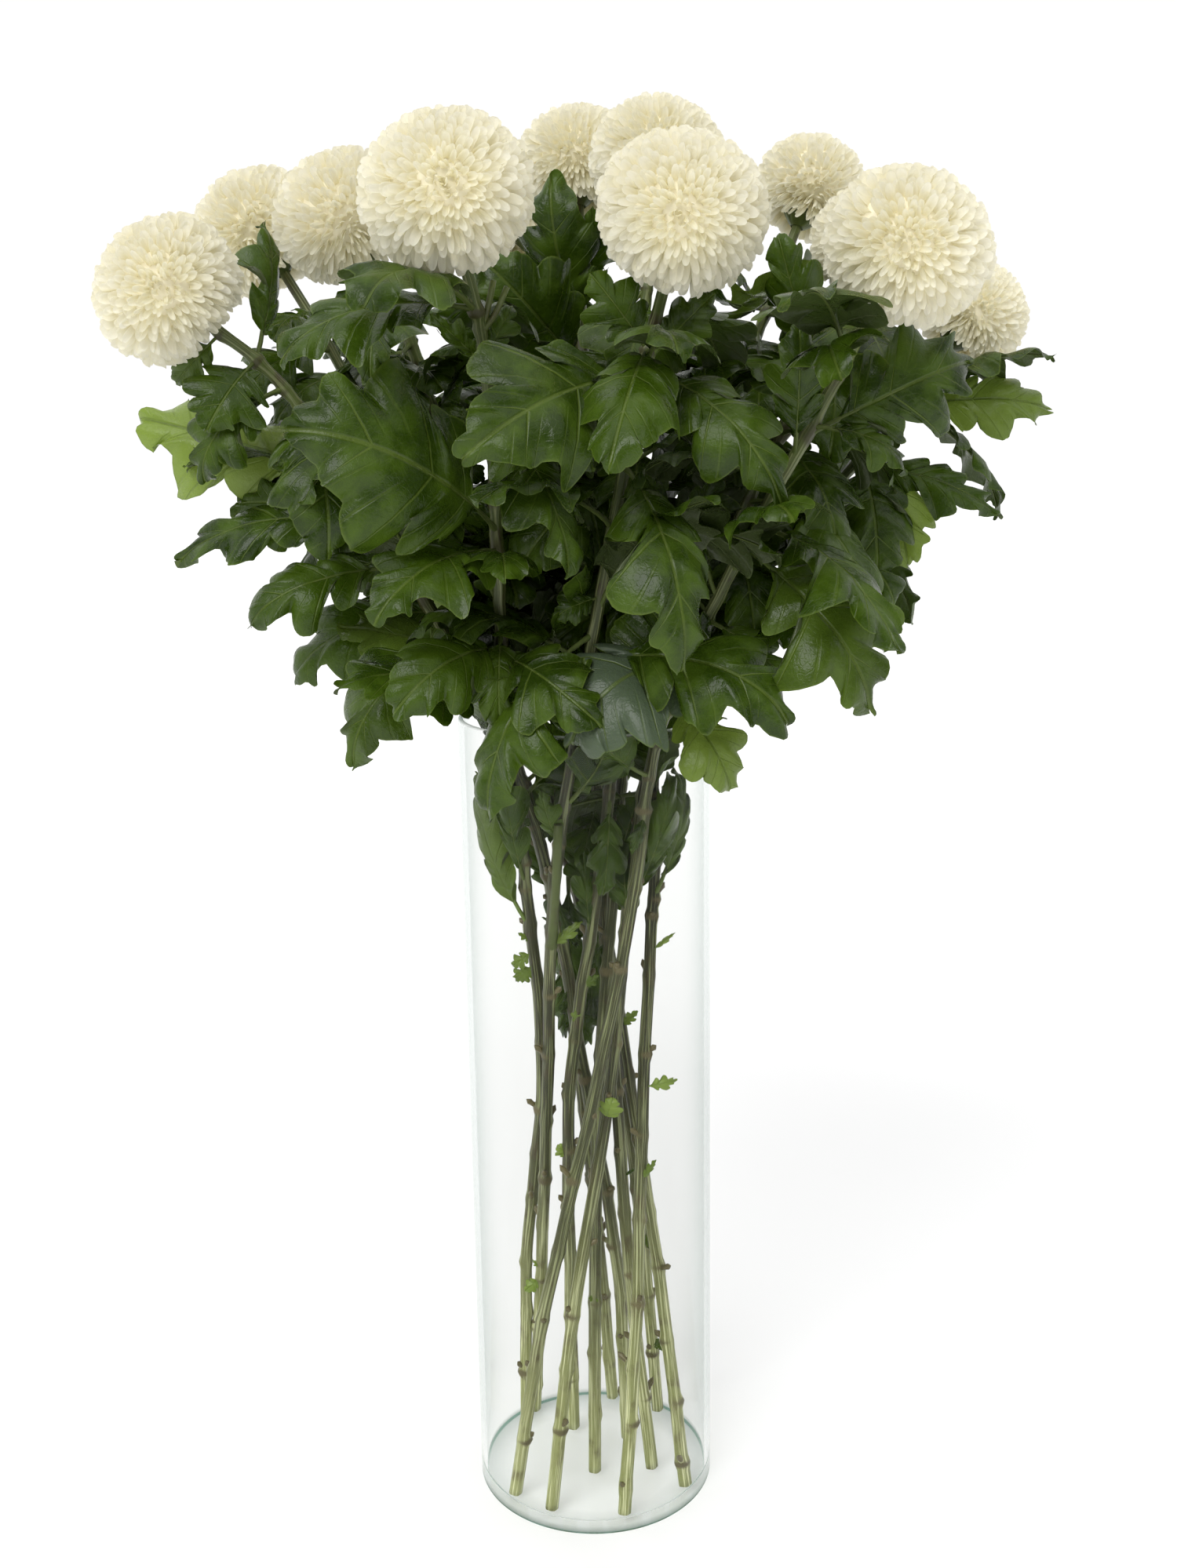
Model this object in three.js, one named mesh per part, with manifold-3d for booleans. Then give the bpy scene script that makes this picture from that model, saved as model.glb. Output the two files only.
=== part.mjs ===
// Ball chrysanthemums in a tall glass cylinder vase.
// Millimetres, +Z up. The origin is the centre of the vase's flat base.
// The flowers stand on the vase's base, cross at a narrow waist and fan out above the rim.
import * as THREE from 'three';
import { mergeVertices } from 'three/addons/utils/BufferGeometryUtils.js';
import Module from 'manifold-3d';

const wasm = await Module();
wasm.setup();

// Vase
const VASE_HEIGHT = 500;
const VASE_RADIUS = 75;
const VASE_WALL = 3.5;
const VASE_BASE = 6;
const VASE_EDGE = 1.5;
const VASE_SIDES = 40;

// Stems: a stem is given where it stands and where it passes four heights
const TOUCH_GAP = 0.3;
const FOOT_HEIGHT = VASE_BASE + TOUCH_GAP;
const LOW_HEIGHT = 130;
const WAIST_HEIGHT = 270;
const NECK_HEIGHT = 400;
const RIM_HEIGHT = VASE_HEIGHT;
const STEM_RADIUS_FOOT = 4.0;
const STEM_RADIUS_TOP = 3.0;
const STEM_SIDES = 6;
const STEM_RINGS = 13;
const STEM_STRAIGHT = 60;
const CALYX_RADIUS = 9;
const CALYX_SHOULDER = 7.2;
const CALYX_HEIGHT = 10;

// Blooms: rows of florets that stand out of a slightly flattened ball, the lowest row hanging.
// Angles are in degrees from the head's axis, and the other shares are parts of the radius.
const FLORETS_IN_ROW = 12;
const FLORET_ROWS = 7;
const FLATNESS = 0.87;
const VALLEY = 0.86;
const TOP_ANGLE = 9;
const LAST_ANGLE = 128;
const ROW_CROWDING = 0.9;
const FLORET_UNEVENNESS = 0.06;
const FLORET_TILT = 0.35;
const SKIRT_TILT = 0.9;
const SKIRT_DROP = 0.1;
const SKIRT_ONSET = 4;
const UNDERSIDE = 0.5;
const UNDERSIDE_RADIUS = 11;

// Leaves: places along the midrib and half widths are parts of the leaf's length.
// The outline runs from the end of the petiole over two lobes a side, and the tip is the fifth.
const LEAF_THICKNESS = 1.0;
const LEAF_CLEARANCE = 0.35;
const LEAF_OUTLINE = [
  [0.17, 0.012],
  [0.36, 0.24],
  [0.45, 0.16],
  [0.66, 0.33],
  [0.76, 0.17],
];
const LEAF_MIDRIB = [0.34, 0.52, 0.72];
const LEAF_WIDEST = 0.33;
const PETIOLE_HALF_WIDTH = 0.012;
const LEAF_FOLD = 0.12;
const LEAF_CURL = 0.2;

// Where leaves go: heights and lengths in millimetres, angles in degrees
const LEAVES_ON_STEM = 11;
const LOWEST_LEAF = 430;
const LEAF_BELOW_HEAD = 25;
const LEAF_LENGTH = 126;
const LEAF_END_SHORTNESS = 0.25;
const LEAF_WRAP = 0.7;
const INNER_HEAD = 150;
const GOLDEN_ANGLE = 137.5;
const HELD_BELOW = RIM_HEIGHT - 30;
const FREE_ABOVE = RIM_HEIGHT + 110;
const HELD_ELEVATION = 60;
const FREE_ELEVATION = -32;
const ELEVATION_SPREAD = 32;
const FACE_UP = 0.7;
const LEAF_TRIES = 50;
const TRY_LIFT = 0.7;
const TRY_SHORTENING = 0.01;
const PLACED_LEAVES = { firstKey: 0, reach: 1 };
const FILL_LEAVES = { firstKey: 50, reach: 9 };

const GLASS = { color: 0xdfeee8, roughness: 0.03, metalness: 0 };
const LEAF_GREEN = { color: 0x2f4f1e, roughness: 0.5, metalness: 0 };
const PETAL_CREAM = { color: 0xf2ecd6, roughness: 0.7, metalness: 0 };

// Each flower: the stem's place at its foot, low, waist, neck and rim heights, the head's centre,
// how far the head leans for each millimetre up, its radius, and the leaves that show in front
const FLOWERS = [
  {
    name: 'a', foot: [21, 17], low: [16, 18], waist: [-4, 12], neck: [-24, 8], rim: [-56, -8],
    head: [-222, -37, 743], lean: [-1.1, -0.3], radius: 43,
    leaves: [
      { height: 640, tip: [-262, 30, 677], face: [0, -1, 0.6], width: 0.8, arch: 0.03 },
      { height: 690, tip: [-217, -45, 640], face: [-0.3, -1, 0.6], width: 0.9, arch: 0.15 },
      { height: 612, tip: [-234, -10, 595], face: [-0.3, -0.8, 0.7], width: 0.6, arch: 0.18 },
      { height: 590, tip: [-196, -50, 566], face: [-0.2, -1, 0.7], width: 0.8, arch: 0.1 },
      { height: 545, tip: [-141, -60, 481], face: [-0.5, -1, 0.3], width: 0.8, arch: 0.15 },
      { height: 705, tip: [-173, 20, 786], face: [1, -0.5, 0.1], width: 0.6, arch: 0.05 },
    ],
  },
  {
    name: 'b', foot: [43, 48], low: [34, 44], waist: [18, 38], neck: [-12, 46], rim: [-38, 42],
    head: [-194, 90, 786], lean: [-0.6, 0.2], radius: 43,
    leaves: [
      { height: 715, tip: [-202, 25, 690], face: [-0.5, -1, 0.3], width: 0.9, arch: 0.1 },
      { height: 640, tip: [-209, 20, 620], face: [-0.5, -0.8, 0.6], width: 0.8, arch: 0.12 },
    ],
  },
  {
    name: 'c', foot: [12, 64], low: [4, 50], waist: [-8, 36], neck: [-26, 32], rim: [-50, 18],
    head: [-132, 15, 786], lean: [-0.5, -0.1], radius: 42,
    leaves: [
      { height: 560, tip: [-185, 0, 526], face: [-0.3, -0.8, 0.7], width: 0.8, arch: 0.15 },
      { height: 715, tip: [-112, -40, 655], face: [-0.2, -1, 0.4], width: 0.9, arch: 0.12 },
      { height: 660, tip: [-145, -45, 612], face: [-0.2, -1, 0.5], width: 0.9, arch: 0.12 },
      { height: 630, tip: [-77, -62, 600], face: [0, -1, 0.5], width: 0.9, arch: 0.15 },
    ],
  },
  {
    name: 'd', foot: [-48, 45], low: [-44, 36], waist: [-30, 12], neck: [-36, -20], rim: [-44, -40],
    head: [-64, -107, 782], lean: [-0.2, -0.45], radius: 45.5,
    leaves: [
      { height: 727, tip: [-154, -125, 708], face: [0, -0.7, 1], width: 0.85, arch: 0.1 },
      { height: 612, tip: [-141, -150, 676], face: [0, -1, 0.5], width: 1.05, arch: 0.12 },
      { height: 600, tip: [-107, -140, 578], face: [-0.2, -1, 0.6], width: 1.0, arch: 0.12 },
      { height: 545, tip: [-101, -120, 526], face: [0, -1, 0.7], width: 1.0, arch: 0.15 },
    ],
  },
  {
    name: 'e', foot: [56, -35], low: [43, -15], waist: [24, 18], neck: [6, 38], rim: [-6, 57],
    head: [-31, 215, 810], lean: [0, 0.5], radius: 40,
    leaves: [
      { height: 715, tip: [-80, 90, 685], face: [-0.4, -1, 0.4], width: 0.9, arch: 0.1 },
      { height: 690, tip: [-5, 90, 640], face: [0.2, -1, 0.4], width: 0.9, arch: 0.1 },
    ],
  },
  {
    name: 'f', foot: [36, -16], low: [24, -10], waist: [16, 6], neck: [9, 24], rim: [6, 42],
    head: [2, 130, 829], lean: [0, 0.3], radius: 40,
    leaves: [
      { height: 720, tip: [-19, 40, 807], face: [-0.3, -1, 0.1], width: 0.9, arch: 0.05 },
      { height: 700, tip: [-52, 20, 762], face: [-0.3, -1, 0.4], width: 1.0, arch: 0.08 },
      { height: 740, tip: [10, 30, 800], face: [0.3, -1, 0.2], width: 0.7, arch: 0.08 },
      { height: 650, tip: [-52, 15, 625], face: [-0.2, -1, 0.4], width: 0.9, arch: 0.1 },
    ],
  },
  {
    name: 'g', foot: [-15, 29], low: [-15, 15], waist: [-12, -13], neck: [7, -18], rim: [20, -12],
    head: [48, 42, 817], lean: [0.1, 0.1], radius: 41,
    leaves: [
      { height: 705, tip: [-25, -40, 668], face: [-0.3, -1, 0.3], width: 1.0, arch: 0.1 },
      { height: 735, tip: [23, -50, 688], face: [0.1, -1, 0.4], width: 1.0, arch: 0.12 },
      { height: 640, tip: [-39, -60, 594], face: [-0.3, -1, 0.3], width: 0.9, arch: 0.12 },
      { height: 655, tip: [12, -78, 598], face: [0.1, -1, 0.4], width: 0.9, arch: 0.14 },
      { height: 560, tip: [-16, -72, 545], face: [0, -1, 0.5], width: 0.9, arch: 0.15 },
    ],
  },
  {
    name: 'h', foot: [-42, 51], low: [-34, 30], waist: [-26, -8], neck: [-19, -36], rim: [-4, -56],
    head: [54, -102, 772], lean: [0.25, -0.45], radius: 45,
    leaves: [
      { height: 690, tip: [-56, -160, 656], face: [0, -1, 0.6], width: 0.95, arch: 0.12 },
      { height: 705, tip: [8, -165, 638], face: [0, -1, 0.6], width: 0.9, arch: 0.14 },
      { height: 695, tip: [107, -130, 628], face: [0.3, -1, 0.6], width: 0.8, arch: 0.14 },
      { height: 645, tip: [57, -150, 542], face: [0.2, -1, 0.4], width: 0.8, arch: 0.16 },
      { height: 540, tip: [119, -120, 523], face: [0, -0.8, 1], width: 0.9, arch: 0.12 },
    ],
  },
  {
    name: 'i', foot: [-1, -19], low: [1, -16], waist: [6, -6], neck: [18, 12], rim: [30, 30],
    head: [150, 140, 813], lean: [0.4, 0.3], radius: 37.5,
    leaves: [
      { height: 722, tip: [111, 5, 652], face: [0, -1, 0.4], width: 0.95, arch: 0.1 },
      { height: 680, tip: [87, 15, 588], face: [0, -1, 0.4], width: 0.95, arch: 0.12 },
      { height: 735, tip: [185, 50, 690], face: [0.3, -1, 0.4], width: 0.9, arch: 0.1 },
    ],
  },
  {
    name: 'j', foot: [-51, -40], low: [-31, -45], waist: [2, -36], neck: [28, -40], rim: [44, -45],
    head: [169, -93, 754], lean: [0.5, -0.35], radius: 45,
    leaves: [
      { height: 600, tip: [170, -110, 510], face: [0.3, -1, 0.3], width: 1.0, arch: 0.12 },
      { height: 660, tip: [221, -60, 705], face: [0, -1, 0.2], width: 1.0, arch: 0.06 },
      { height: 650, tip: [115, -90, 717], face: [0, -1, 0.1], width: 0.8, arch: 0.06 },
      { height: 512, tip: [85, -95, 469], face: [0.2, -1, 0.3], width: 0.9, arch: 0.2 },
    ],
  },
  {
    name: 'k', foot: [17, -62], low: [26, -48], waist: [33, -18], neck: [42, 5], rim: [51, 25],
    head: [247, 100, 732], lean: [0.8, 0.3], radius: 36,
    leaves: [
      { height: 675, tip: [293, 60, 676], face: [0, -1, 0.4], width: 0.8, arch: 0.12 },
      { height: 640, tip: [255, 40, 614], face: [0.1, -1, 0.6], width: 0.6, arch: 0.12 },
      { height: 610, tip: [192, 5, 562], face: [0.2, -1, 0.4], width: 0.9, arch: 0.12 },
    ],
  },
  {
    name: 'l', foot: [-28, -56], low: [-13, -50], waist: [12, -26], neck: [27, -14], rim: [46, 2],
    head: [172, 40, 768], lean: [0.5, 0.1], radius: 37,
    leaves: [
      { height: 700, tip: [112, -10, 769], face: [-0.2, -1, 0.2], width: 0.7, arch: 0.06 },
      { height: 710, tip: [141, -45, 654], face: [0.1, -1, 0.4], width: 1.0, arch: 0.12 },
      { height: 655, tip: [147, -55, 600], face: [0.2, -1, 0.4], width: 0.95, arch: 0.12 },
      { height: 600, tip: [96, -65, 553], face: [0, -1, 0.4], width: 0.9, arch: 0.14 },
    ],
  },
];

// A repeatable draw between two values, told apart from the others by whole-number keys
function draw(low, high, ...keys) {
  let hash = 2166136261;
  for (const key of keys) {
    hash = Math.imul(hash ^ (key + 1), 16777619);
    hash = Math.imul(hash ^ (hash >>> 13), 1540483477);
  }
  return low + (high - low) * ((hash ^ (hash >>> 15)) >>> 0) / 2 ** 32;
}

function radians(degrees) {
  return degrees * Math.PI / 180;
}

// A closed solid from its points and its triangles
function solidFrom(points, triangles) {
  const vertProperties = new Float32Array(points.flatMap((point) => [point.x, point.y, point.z]));
  const triVerts = new Uint32Array(triangles.flat());
  return new wasm.Manifold(new wasm.Mesh({ numProp: 3, vertProperties, triVerts }));
}

function geometryFrom(solid) {
  const mesh = solid.getMesh();
  const geometry = new THREE.BufferGeometry();
  geometry.setAttribute('position', new THREE.BufferAttribute(mesh.vertProperties, 3));
  geometry.setIndex(new THREE.BufferAttribute(mesh.triVerts, 1));
  geometry.computeVertexNormals();
  return geometry;
}

// The vase: a straight glass cylinder with a thick flat base and softened edges
function vaseGeometry() {
  const inner = VASE_RADIUS - VASE_WALL;
  const rimEdge = VASE_WALL / 3;
  const profile = [
    [0, 0],
    [VASE_RADIUS - VASE_EDGE, 0],
    [VASE_RADIUS, VASE_EDGE],
    [VASE_RADIUS, VASE_HEIGHT - rimEdge],
    [VASE_RADIUS - rimEdge, VASE_HEIGHT],
    [inner + rimEdge, VASE_HEIGHT],
    [inner, VASE_HEIGHT - rimEdge],
    [inner, VASE_BASE + VASE_EDGE],
    [inner - VASE_EDGE, VASE_BASE],
    [0, VASE_BASE],
  ].map(([radius, height]) => new THREE.Vector2(radius, height));
  const lathe = new THREE.LatheGeometry(profile, VASE_SIDES);
  lathe.deleteAttribute('normal');
  lathe.deleteAttribute('uv');
  lathe.rotateX(Math.PI / 2);
  return mergeVertices(lathe, 1e-3);
}

function headAxis(flower) {
  return new THREE.Vector3(flower.lean[0], flower.lean[1], 1).normalize();
}

// The stem's centre line, from its foot to the flat top of its calyx
function stemCurve(flower) {
  const axis = headAxis(flower);
  const reach = flower.radius * FLATNESS * UNDERSIDE + TOUCH_GAP;
  const top = new THREE.Vector3(...flower.head).addScaledVector(axis, -reach);
  const below = top.clone().addScaledVector(axis, -STEM_STRAIGHT);
  return new THREE.CatmullRomCurve3([
    new THREE.Vector3(...flower.foot, FOOT_HEIGHT),
    new THREE.Vector3(...flower.low, LOW_HEIGHT),
    new THREE.Vector3(...flower.waist, WAIST_HEIGHT),
    new THREE.Vector3(...flower.neck, NECK_HEIGHT),
    new THREE.Vector3(...flower.rim, RIM_HEIGHT),
    below,
    top,
  ], false, 'centripetal');
}

// A ring of points round a point of the stem's spine, square to its direction
function ringAt({ centre, direction, radius }, sides) {
  const across = new THREE.Vector3(0, 1, 0).cross(direction).normalize();
  const along = direction.clone().cross(across);
  return Array.from({ length: sides }, (_, i) => {
    const turn = 2 * Math.PI * i / sides;
    return centre.clone()
      .addScaledVector(across, radius * Math.cos(turn))
      .addScaledVector(along, radius * Math.sin(turn));
  });
}

// The points that the stem's straight stretches run through, and its radius at each
function stemSpine(flower) {
  const curve = stemCurve(flower);
  const top = curve.getPoint(1);
  const axis = curve.getTangent(1);
  const spine = Array.from({ length: STEM_RINGS }, (_, i) => {
    const along = i / STEM_RINGS;
    return {
      centre: curve.getPoint(along),
      direction: i === 0 ? new THREE.Vector3(0, 0, 1) : curve.getTangent(along),
      radius: THREE.MathUtils.lerp(STEM_RADIUS_FOOT, STEM_RADIUS_TOP, along),
    };
  });
  const calyx = [
    [CALYX_HEIGHT, STEM_RADIUS_TOP],
    [CALYX_HEIGHT / 2, CALYX_SHOULDER],
    [0, CALYX_RADIUS],
  ];
  for (const [below, radius] of calyx) {
    spine.push({ centre: top.clone().addScaledVector(axis, -below), direction: axis, radius });
  }
  return spine;
}

// A closed solid through rings of points with as many points each, capped flat at both ends
function skin(rings) {
  const sides = rings[0].length;
  const triangles = [];
  for (let r = 0; r + 1 < rings.length; r += 1) {
    for (let i = 0; i < sides; i += 1) {
      const a = r * sides + i;
      const b = r * sides + (i + 1) % sides;
      triangles.push([a, b, b + sides], [a, b + sides, a + sides]);
    }
  }
  const last = (rings.length - 1) * sides;
  for (let i = 1; i + 1 < sides; i += 1) {
    triangles.push([0, i + 1, i], [last, last + i, last + i + 1]);
  }
  return solidFrom(rings.flat(), triangles);
}

// The height of the ball's surface in a direction that leaves the head's axis by an angle
function ballRadius(radius, angle) {
  return radius / Math.hypot(Math.sin(angle), Math.cos(angle) / FLATNESS);
}

// A bloom: staggered rows of four-sided florets, each raised from the valley between its neighbours
function bloomSolid(flower, index) {
  const { radius } = flower;
  const rows = FLORET_ROWS + 2;
  const count = FLORETS_IN_ROW;
  const under = -radius * FLATNESS * UNDERSIDE;
  const points = [];
  const triangles = [];
  const put = (flat, turn, z) => {
    points.push(new THREE.Vector3(flat * Math.cos(turn), flat * Math.sin(turn), z));
    return points.length - 1;
  };
  const rowAngle = (row) => radians(
    TOP_ANGLE + (LAST_ANGLE - TOP_ANGLE) * (row / (rows - 1)) ** ROW_CROWDING);
  const turnOf = (row, i) => 2 * Math.PI * (i + row / 2) / count;
  const ring = (place) => Array.from({ length: count }, (_, i) => place(i));
  const valleys = Array.from({ length: rows }, (_, row) => {
    const angle = rowAngle(row);
    const low = ballRadius(radius, angle) * VALLEY;
    return ring((i) => put(low * Math.sin(angle), turnOf(row, i), low * Math.cos(angle)));
  });
  const valley = (row, i) => valleys[row][(i + count) % count];
  for (let row = 0; row < FLORET_ROWS; row += 1) {
    const hang = (row / (FLORET_ROWS - 1)) ** SKIRT_ONSET;
    const tilt = FLORET_TILT + SKIRT_TILT * hang;
    const angle = THREE.MathUtils.lerp(rowAngle(row + 1), rowAngle(row + 2), tilt);
    for (let i = 0; i < count; i += 1) {
      const high = ballRadius(radius, angle) * (1 + SKIRT_DROP * hang)
        * draw(1, 1 - FLORET_UNEVENNESS, index, row, i);
      const tip = put(high * Math.sin(angle), turnOf(row, i),
        high * Math.cos(angle) - SKIRT_DROP * hang * radius);
      const corners = [valley(row, i), valley(row + 1, i - 1), valley(row + 2, i - 1), valley(row + 1, i)];
      corners.forEach((corner, c) => triangles.push([tip, corner, corners[(c + 1) % 4]]));
    }
  }
  const apex = put(0, 0, radius * FLATNESS);
  const bottom = put(0, 0, under);
  const rim = ring((i) => put(UNDERSIDE_RADIUS, turnOf(rows - 1, i), under));
  for (let i = 0; i < count; i += 1) {
    const next = (i + 1) % count;
    triangles.push(
      [apex, valley(0, i), valley(0, next)],
      [valley(0, next), valley(0, i), valley(1, i)],
      [valley(rows - 2, i), valley(rows - 1, i - 1), valley(rows - 1, i)],
      [valley(rows - 1, i), rim[i], rim[next]],
      [valley(rows - 1, i), rim[next], valley(rows - 1, next)],
      [bottom, rim[next], rim[i]],
    );
  }
  const turned = new THREE.Quaternion().setFromUnitVectors(new THREE.Vector3(0, 0, 1), headAxis(flower));
  const centre = new THREE.Vector3(...flower.head);
  points.forEach((point) => point.applyQuaternion(turned).add(centre));
  return solidFrom(points, triangles);
}

// The point of a stem's centre at a height
function stemPointAt(spine, height) {
  const next = spine.findIndex(({ centre }) => centre.z > height);
  const low = spine[next - 1].centre;
  const high = spine[next].centre;
  return low.clone().lerp(high, (height - low.z) / (high.z - low.z));
}

// A leaf with its petiole: a thin arched blade, folded along its midrib, with rounded lobes
function leafSolid(root, leaf, margin) {
  const chord = leaf.tip.clone().sub(root);
  const length = chord.length();
  const forward = chord.normalize();
  const normal = leaf.face.clone().addScaledVector(forward, -leaf.face.dot(forward)).normalize();
  const side = normal.clone().cross(forward);
  const at = (s, w, face) => {
    const lift = leaf.arch * 4 * s * (1 - s) + LEAF_FOLD * Math.abs(w) - LEAF_CURL * w * w / LEAF_WIDEST;
    return root.clone()
      .addScaledVector(forward, s * length + (s === 1 ? margin : 0))
      .addScaledVector(side, w * leaf.width * length + Math.sign(w) * margin)
      .addScaledVector(normal, lift * length + face * (LEAF_THICKNESS / 2 + margin));
  };
  const points = [];
  const triangles = [];
  const half = LEAF_OUTLINE.length;
  for (const face of [1, -1]) {
    const start = points.length;
    points.push(at(1, 0, face));
    LEAF_MIDRIB.forEach((s) => points.push(at(s, 0, face)));
    for (const hand of [1, -1]) {
      points.push(at(0, hand * PETIOLE_HALF_WIDTH, face));
      LEAF_OUTLINE.forEach(([s, w]) => points.push(at(s, hand * w, face)));
    }
    const tip = start;
    const rib = (i) => start + 1 + i;
    const left = (i) => start + 4 + i;
    const right = (i) => start + 5 + half + i;
    const put = (a, b, c, hand) => triangles.push(face * hand > 0 ? [a, b, c] : [a, c, b]);
    for (const [edge, hand] of [[left, 1], [right, -1]]) {
      const strip = [
        [rib(0), edge(2), edge(1)], [rib(0), rib(1), edge(2)],
        [rib(1), edge(3), edge(2)], [rib(1), edge(4), edge(3)], [rib(1), rib(2), edge(4)],
        [rib(2), edge(5), edge(4)], [rib(2), tip, edge(5)],
      ];
      strip.forEach(([a, b, c]) => put(a, b, c, hand));
    }
    put(left(0), right(1), left(1), 1);
    put(left(0), right(0), right(1), 1);
    put(left(1), right(1), rib(0), 1);
  }
  const loop = [...Array(half + 1).keys()].map((i) => 4 + i);
  const edge = [...loop, 0, ...loop.map((i) => i + half + 1).reverse()];
  const below = points.length / 2;
  edge.forEach((a, i) => {
    const b = edge[(i + 1) % edge.length];
    triangles.push([a, b, b + below], [a, b + below, a + below]);
  });
  return solidFrom(points, triangles);
}

// Where a leaf may go: its own place first, then places that turn, lift and shorten it bit by bit
function leafCandidate(root, leaf, key, attempt, reach) {
  const offset = leaf.tip.clone().sub(root);
  const stray = radians(reach * attempt) / 2;
  const turn = draw(-stray, stray, key, attempt, 1);
  const lift = TRY_LIFT * draw(-stray, stray, key, attempt, 2);
  const flat = Math.hypot(offset.x, offset.y);
  const azimuth = Math.atan2(offset.y, offset.x) + turn;
  const elevation = Math.atan2(offset.z, flat) + lift;
  const length = offset.length() * (1 - TRY_SHORTENING * attempt);
  const tip = new THREE.Vector3(
    length * Math.cos(elevation) * Math.cos(azimuth),
    length * Math.cos(elevation) * Math.sin(azimuth),
    length * Math.sin(elevation)).add(root);
  return { ...leaf, tip };
}

// The leaves that fill a stem up: they turn by the golden angle, round towards the head's side.
// The vase's rim holds the lowest ones up, and the others droop.
function fillLeaves(flower, index, spine) {
  const missing = LEAVES_ON_STEM - flower.leaves.length;
  const highest = spine.at(-1).centre.z - LEAF_BELOW_HEAD;
  const [x, y] = flower.head;
  const wrap = Math.hypot(x, y) < INNER_HEAD ? 1 : LEAF_WRAP;
  const start = draw(0, 360, index, 3);
  return Array.from({ length: missing }, (_, k) => {
    const share = (k + 0.5) / missing;
    const height = THREE.MathUtils.lerp(LOWEST_LEAF, highest, share);
    const turn = ((k * GOLDEN_ANGLE + start) % 360 - 180) * wrap;
    const azimuth = Math.atan2(y, x) + radians(turn);
    const free = THREE.MathUtils.smoothstep(height, HELD_BELOW, FREE_ABOVE);
    const elevation = radians(THREE.MathUtils.lerp(HELD_ELEVATION, FREE_ELEVATION, free)
      + draw(-ELEVATION_SPREAD, ELEVATION_SPREAD, index, k, 4));
    const fullness = 1 - LEAF_END_SHORTNESS * (1 - Math.sin(Math.PI * share));
    const length = LEAF_LENGTH * fullness * draw(0.9, 1.1, index, k, 5);
    const away = new THREE.Vector3(Math.cos(azimuth), Math.sin(azimuth), 0);
    const tip = stemPointAt(spine, height).addScaledVector(away, length * Math.cos(elevation));
    tip.z += length * Math.sin(elevation);
    const face = away.multiplyScalar(draw(0.6, 1.4, index, k, 6));
    face.z = FACE_UP;
    const width = draw(0.8, 1.05, index, k, 7);
    const arch = draw(0.08, 0.2, index, k, 8);
    return { height, tip, face, width, arch };
  });
}

function overlaps(box, other) {
  return [0, 1, 2].every((i) => box.min[i] < other.max[i] && other.min[i] < box.max[i]);
}

function isClear(solid, obstacles, own) {
  const box = solid.boundingBox();
  return obstacles.every((obstacle) => obstacle.owner === own
    || !overlaps(box, obstacle.box)
    || solid.intersect(obstacle.solid).isEmpty());
}

function named(geometry, name, look) {
  const mesh = new THREE.Mesh(geometry, new THREE.MeshStandardMaterial(look));
  mesh.name = name;
  return mesh;
}

const bouquet = new THREE.Group();
const glass = vaseGeometry();
bouquet.add(named(glass, 'vase', GLASS));

// What a leaf has to stay clear of
const obstacles = [];
function block(solid, owner) {
  obstacles.push({ solid, owner, box: solid.boundingBox() });
}

block(new wasm.Manifold(new wasm.Mesh({
  numProp: 3, vertProperties: glass.attributes.position.array, triVerts: Uint32Array.from(glass.index.array),
})), 'vase');
const plants = FLOWERS.map((flower, index) => {
  const spine = stemSpine(flower);
  const stem = skin(spine.map((ring) => ringAt(ring, STEM_SIDES)));
  const bloom = bloomSolid(flower, index);
  block(stem, flower.name);
  block(bloom, 'bloom');
  bouquet.add(named(geometryFrom(bloom), `bloom_${flower.name}`, PETAL_CREAM));
  return { flower, index, spine, stem };
});

// Each leaf takes the first of its candidates that touches nothing but its own stem
function growLeaves(plant, leaves, { firstKey, reach }) {
  leaves.forEach((leaf, k) => {
    const root = stemPointAt(plant.spine, leaf.height);
    const key = plant.index * 100 + firstKey + k;
    for (let attempt = 0; attempt < LEAF_TRIES; attempt += 1) {
      const tried = leafCandidate(root, leaf, key, attempt, reach);
      if (isClear(leafSolid(root, tried, LEAF_CLEARANCE), obstacles, plant.flower.name)) {
        const solid = leafSolid(root, tried, 0);
        block(solid, 'leaf');
        plant.stem = plant.stem.add(solid);
        break;
      }
    }
  });
}

// Leaves that show in front go first, then the leaves that fill the bunch
for (const plant of plants) {
  const placed = plant.flower.leaves.map((leaf) => ({
    ...leaf, tip: new THREE.Vector3(...leaf.tip), face: new THREE.Vector3(...leaf.face),
  }));
  growLeaves(plant, placed, PLACED_LEAVES);
}
for (const plant of plants) {
  growLeaves(plant, fillLeaves(plant.flower, plant.index, plant.spine), FILL_LEAVES);
}
for (const plant of plants) {
  bouquet.add(named(geometryFrom(plant.stem), `leafy_stem_${plant.flower.name}`, LEAF_GREEN));
}

export default bouquet;
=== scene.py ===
# Ball chrysanthemums in a tall glass cylinder vase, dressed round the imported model.
# Metres, +Z up. The origin is the centre of the vase's flat base, and the camera looks along +Y.
import math

import bmesh
import bpy
import numpy as np
from mathutils import Matrix, Vector, kdtree


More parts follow.
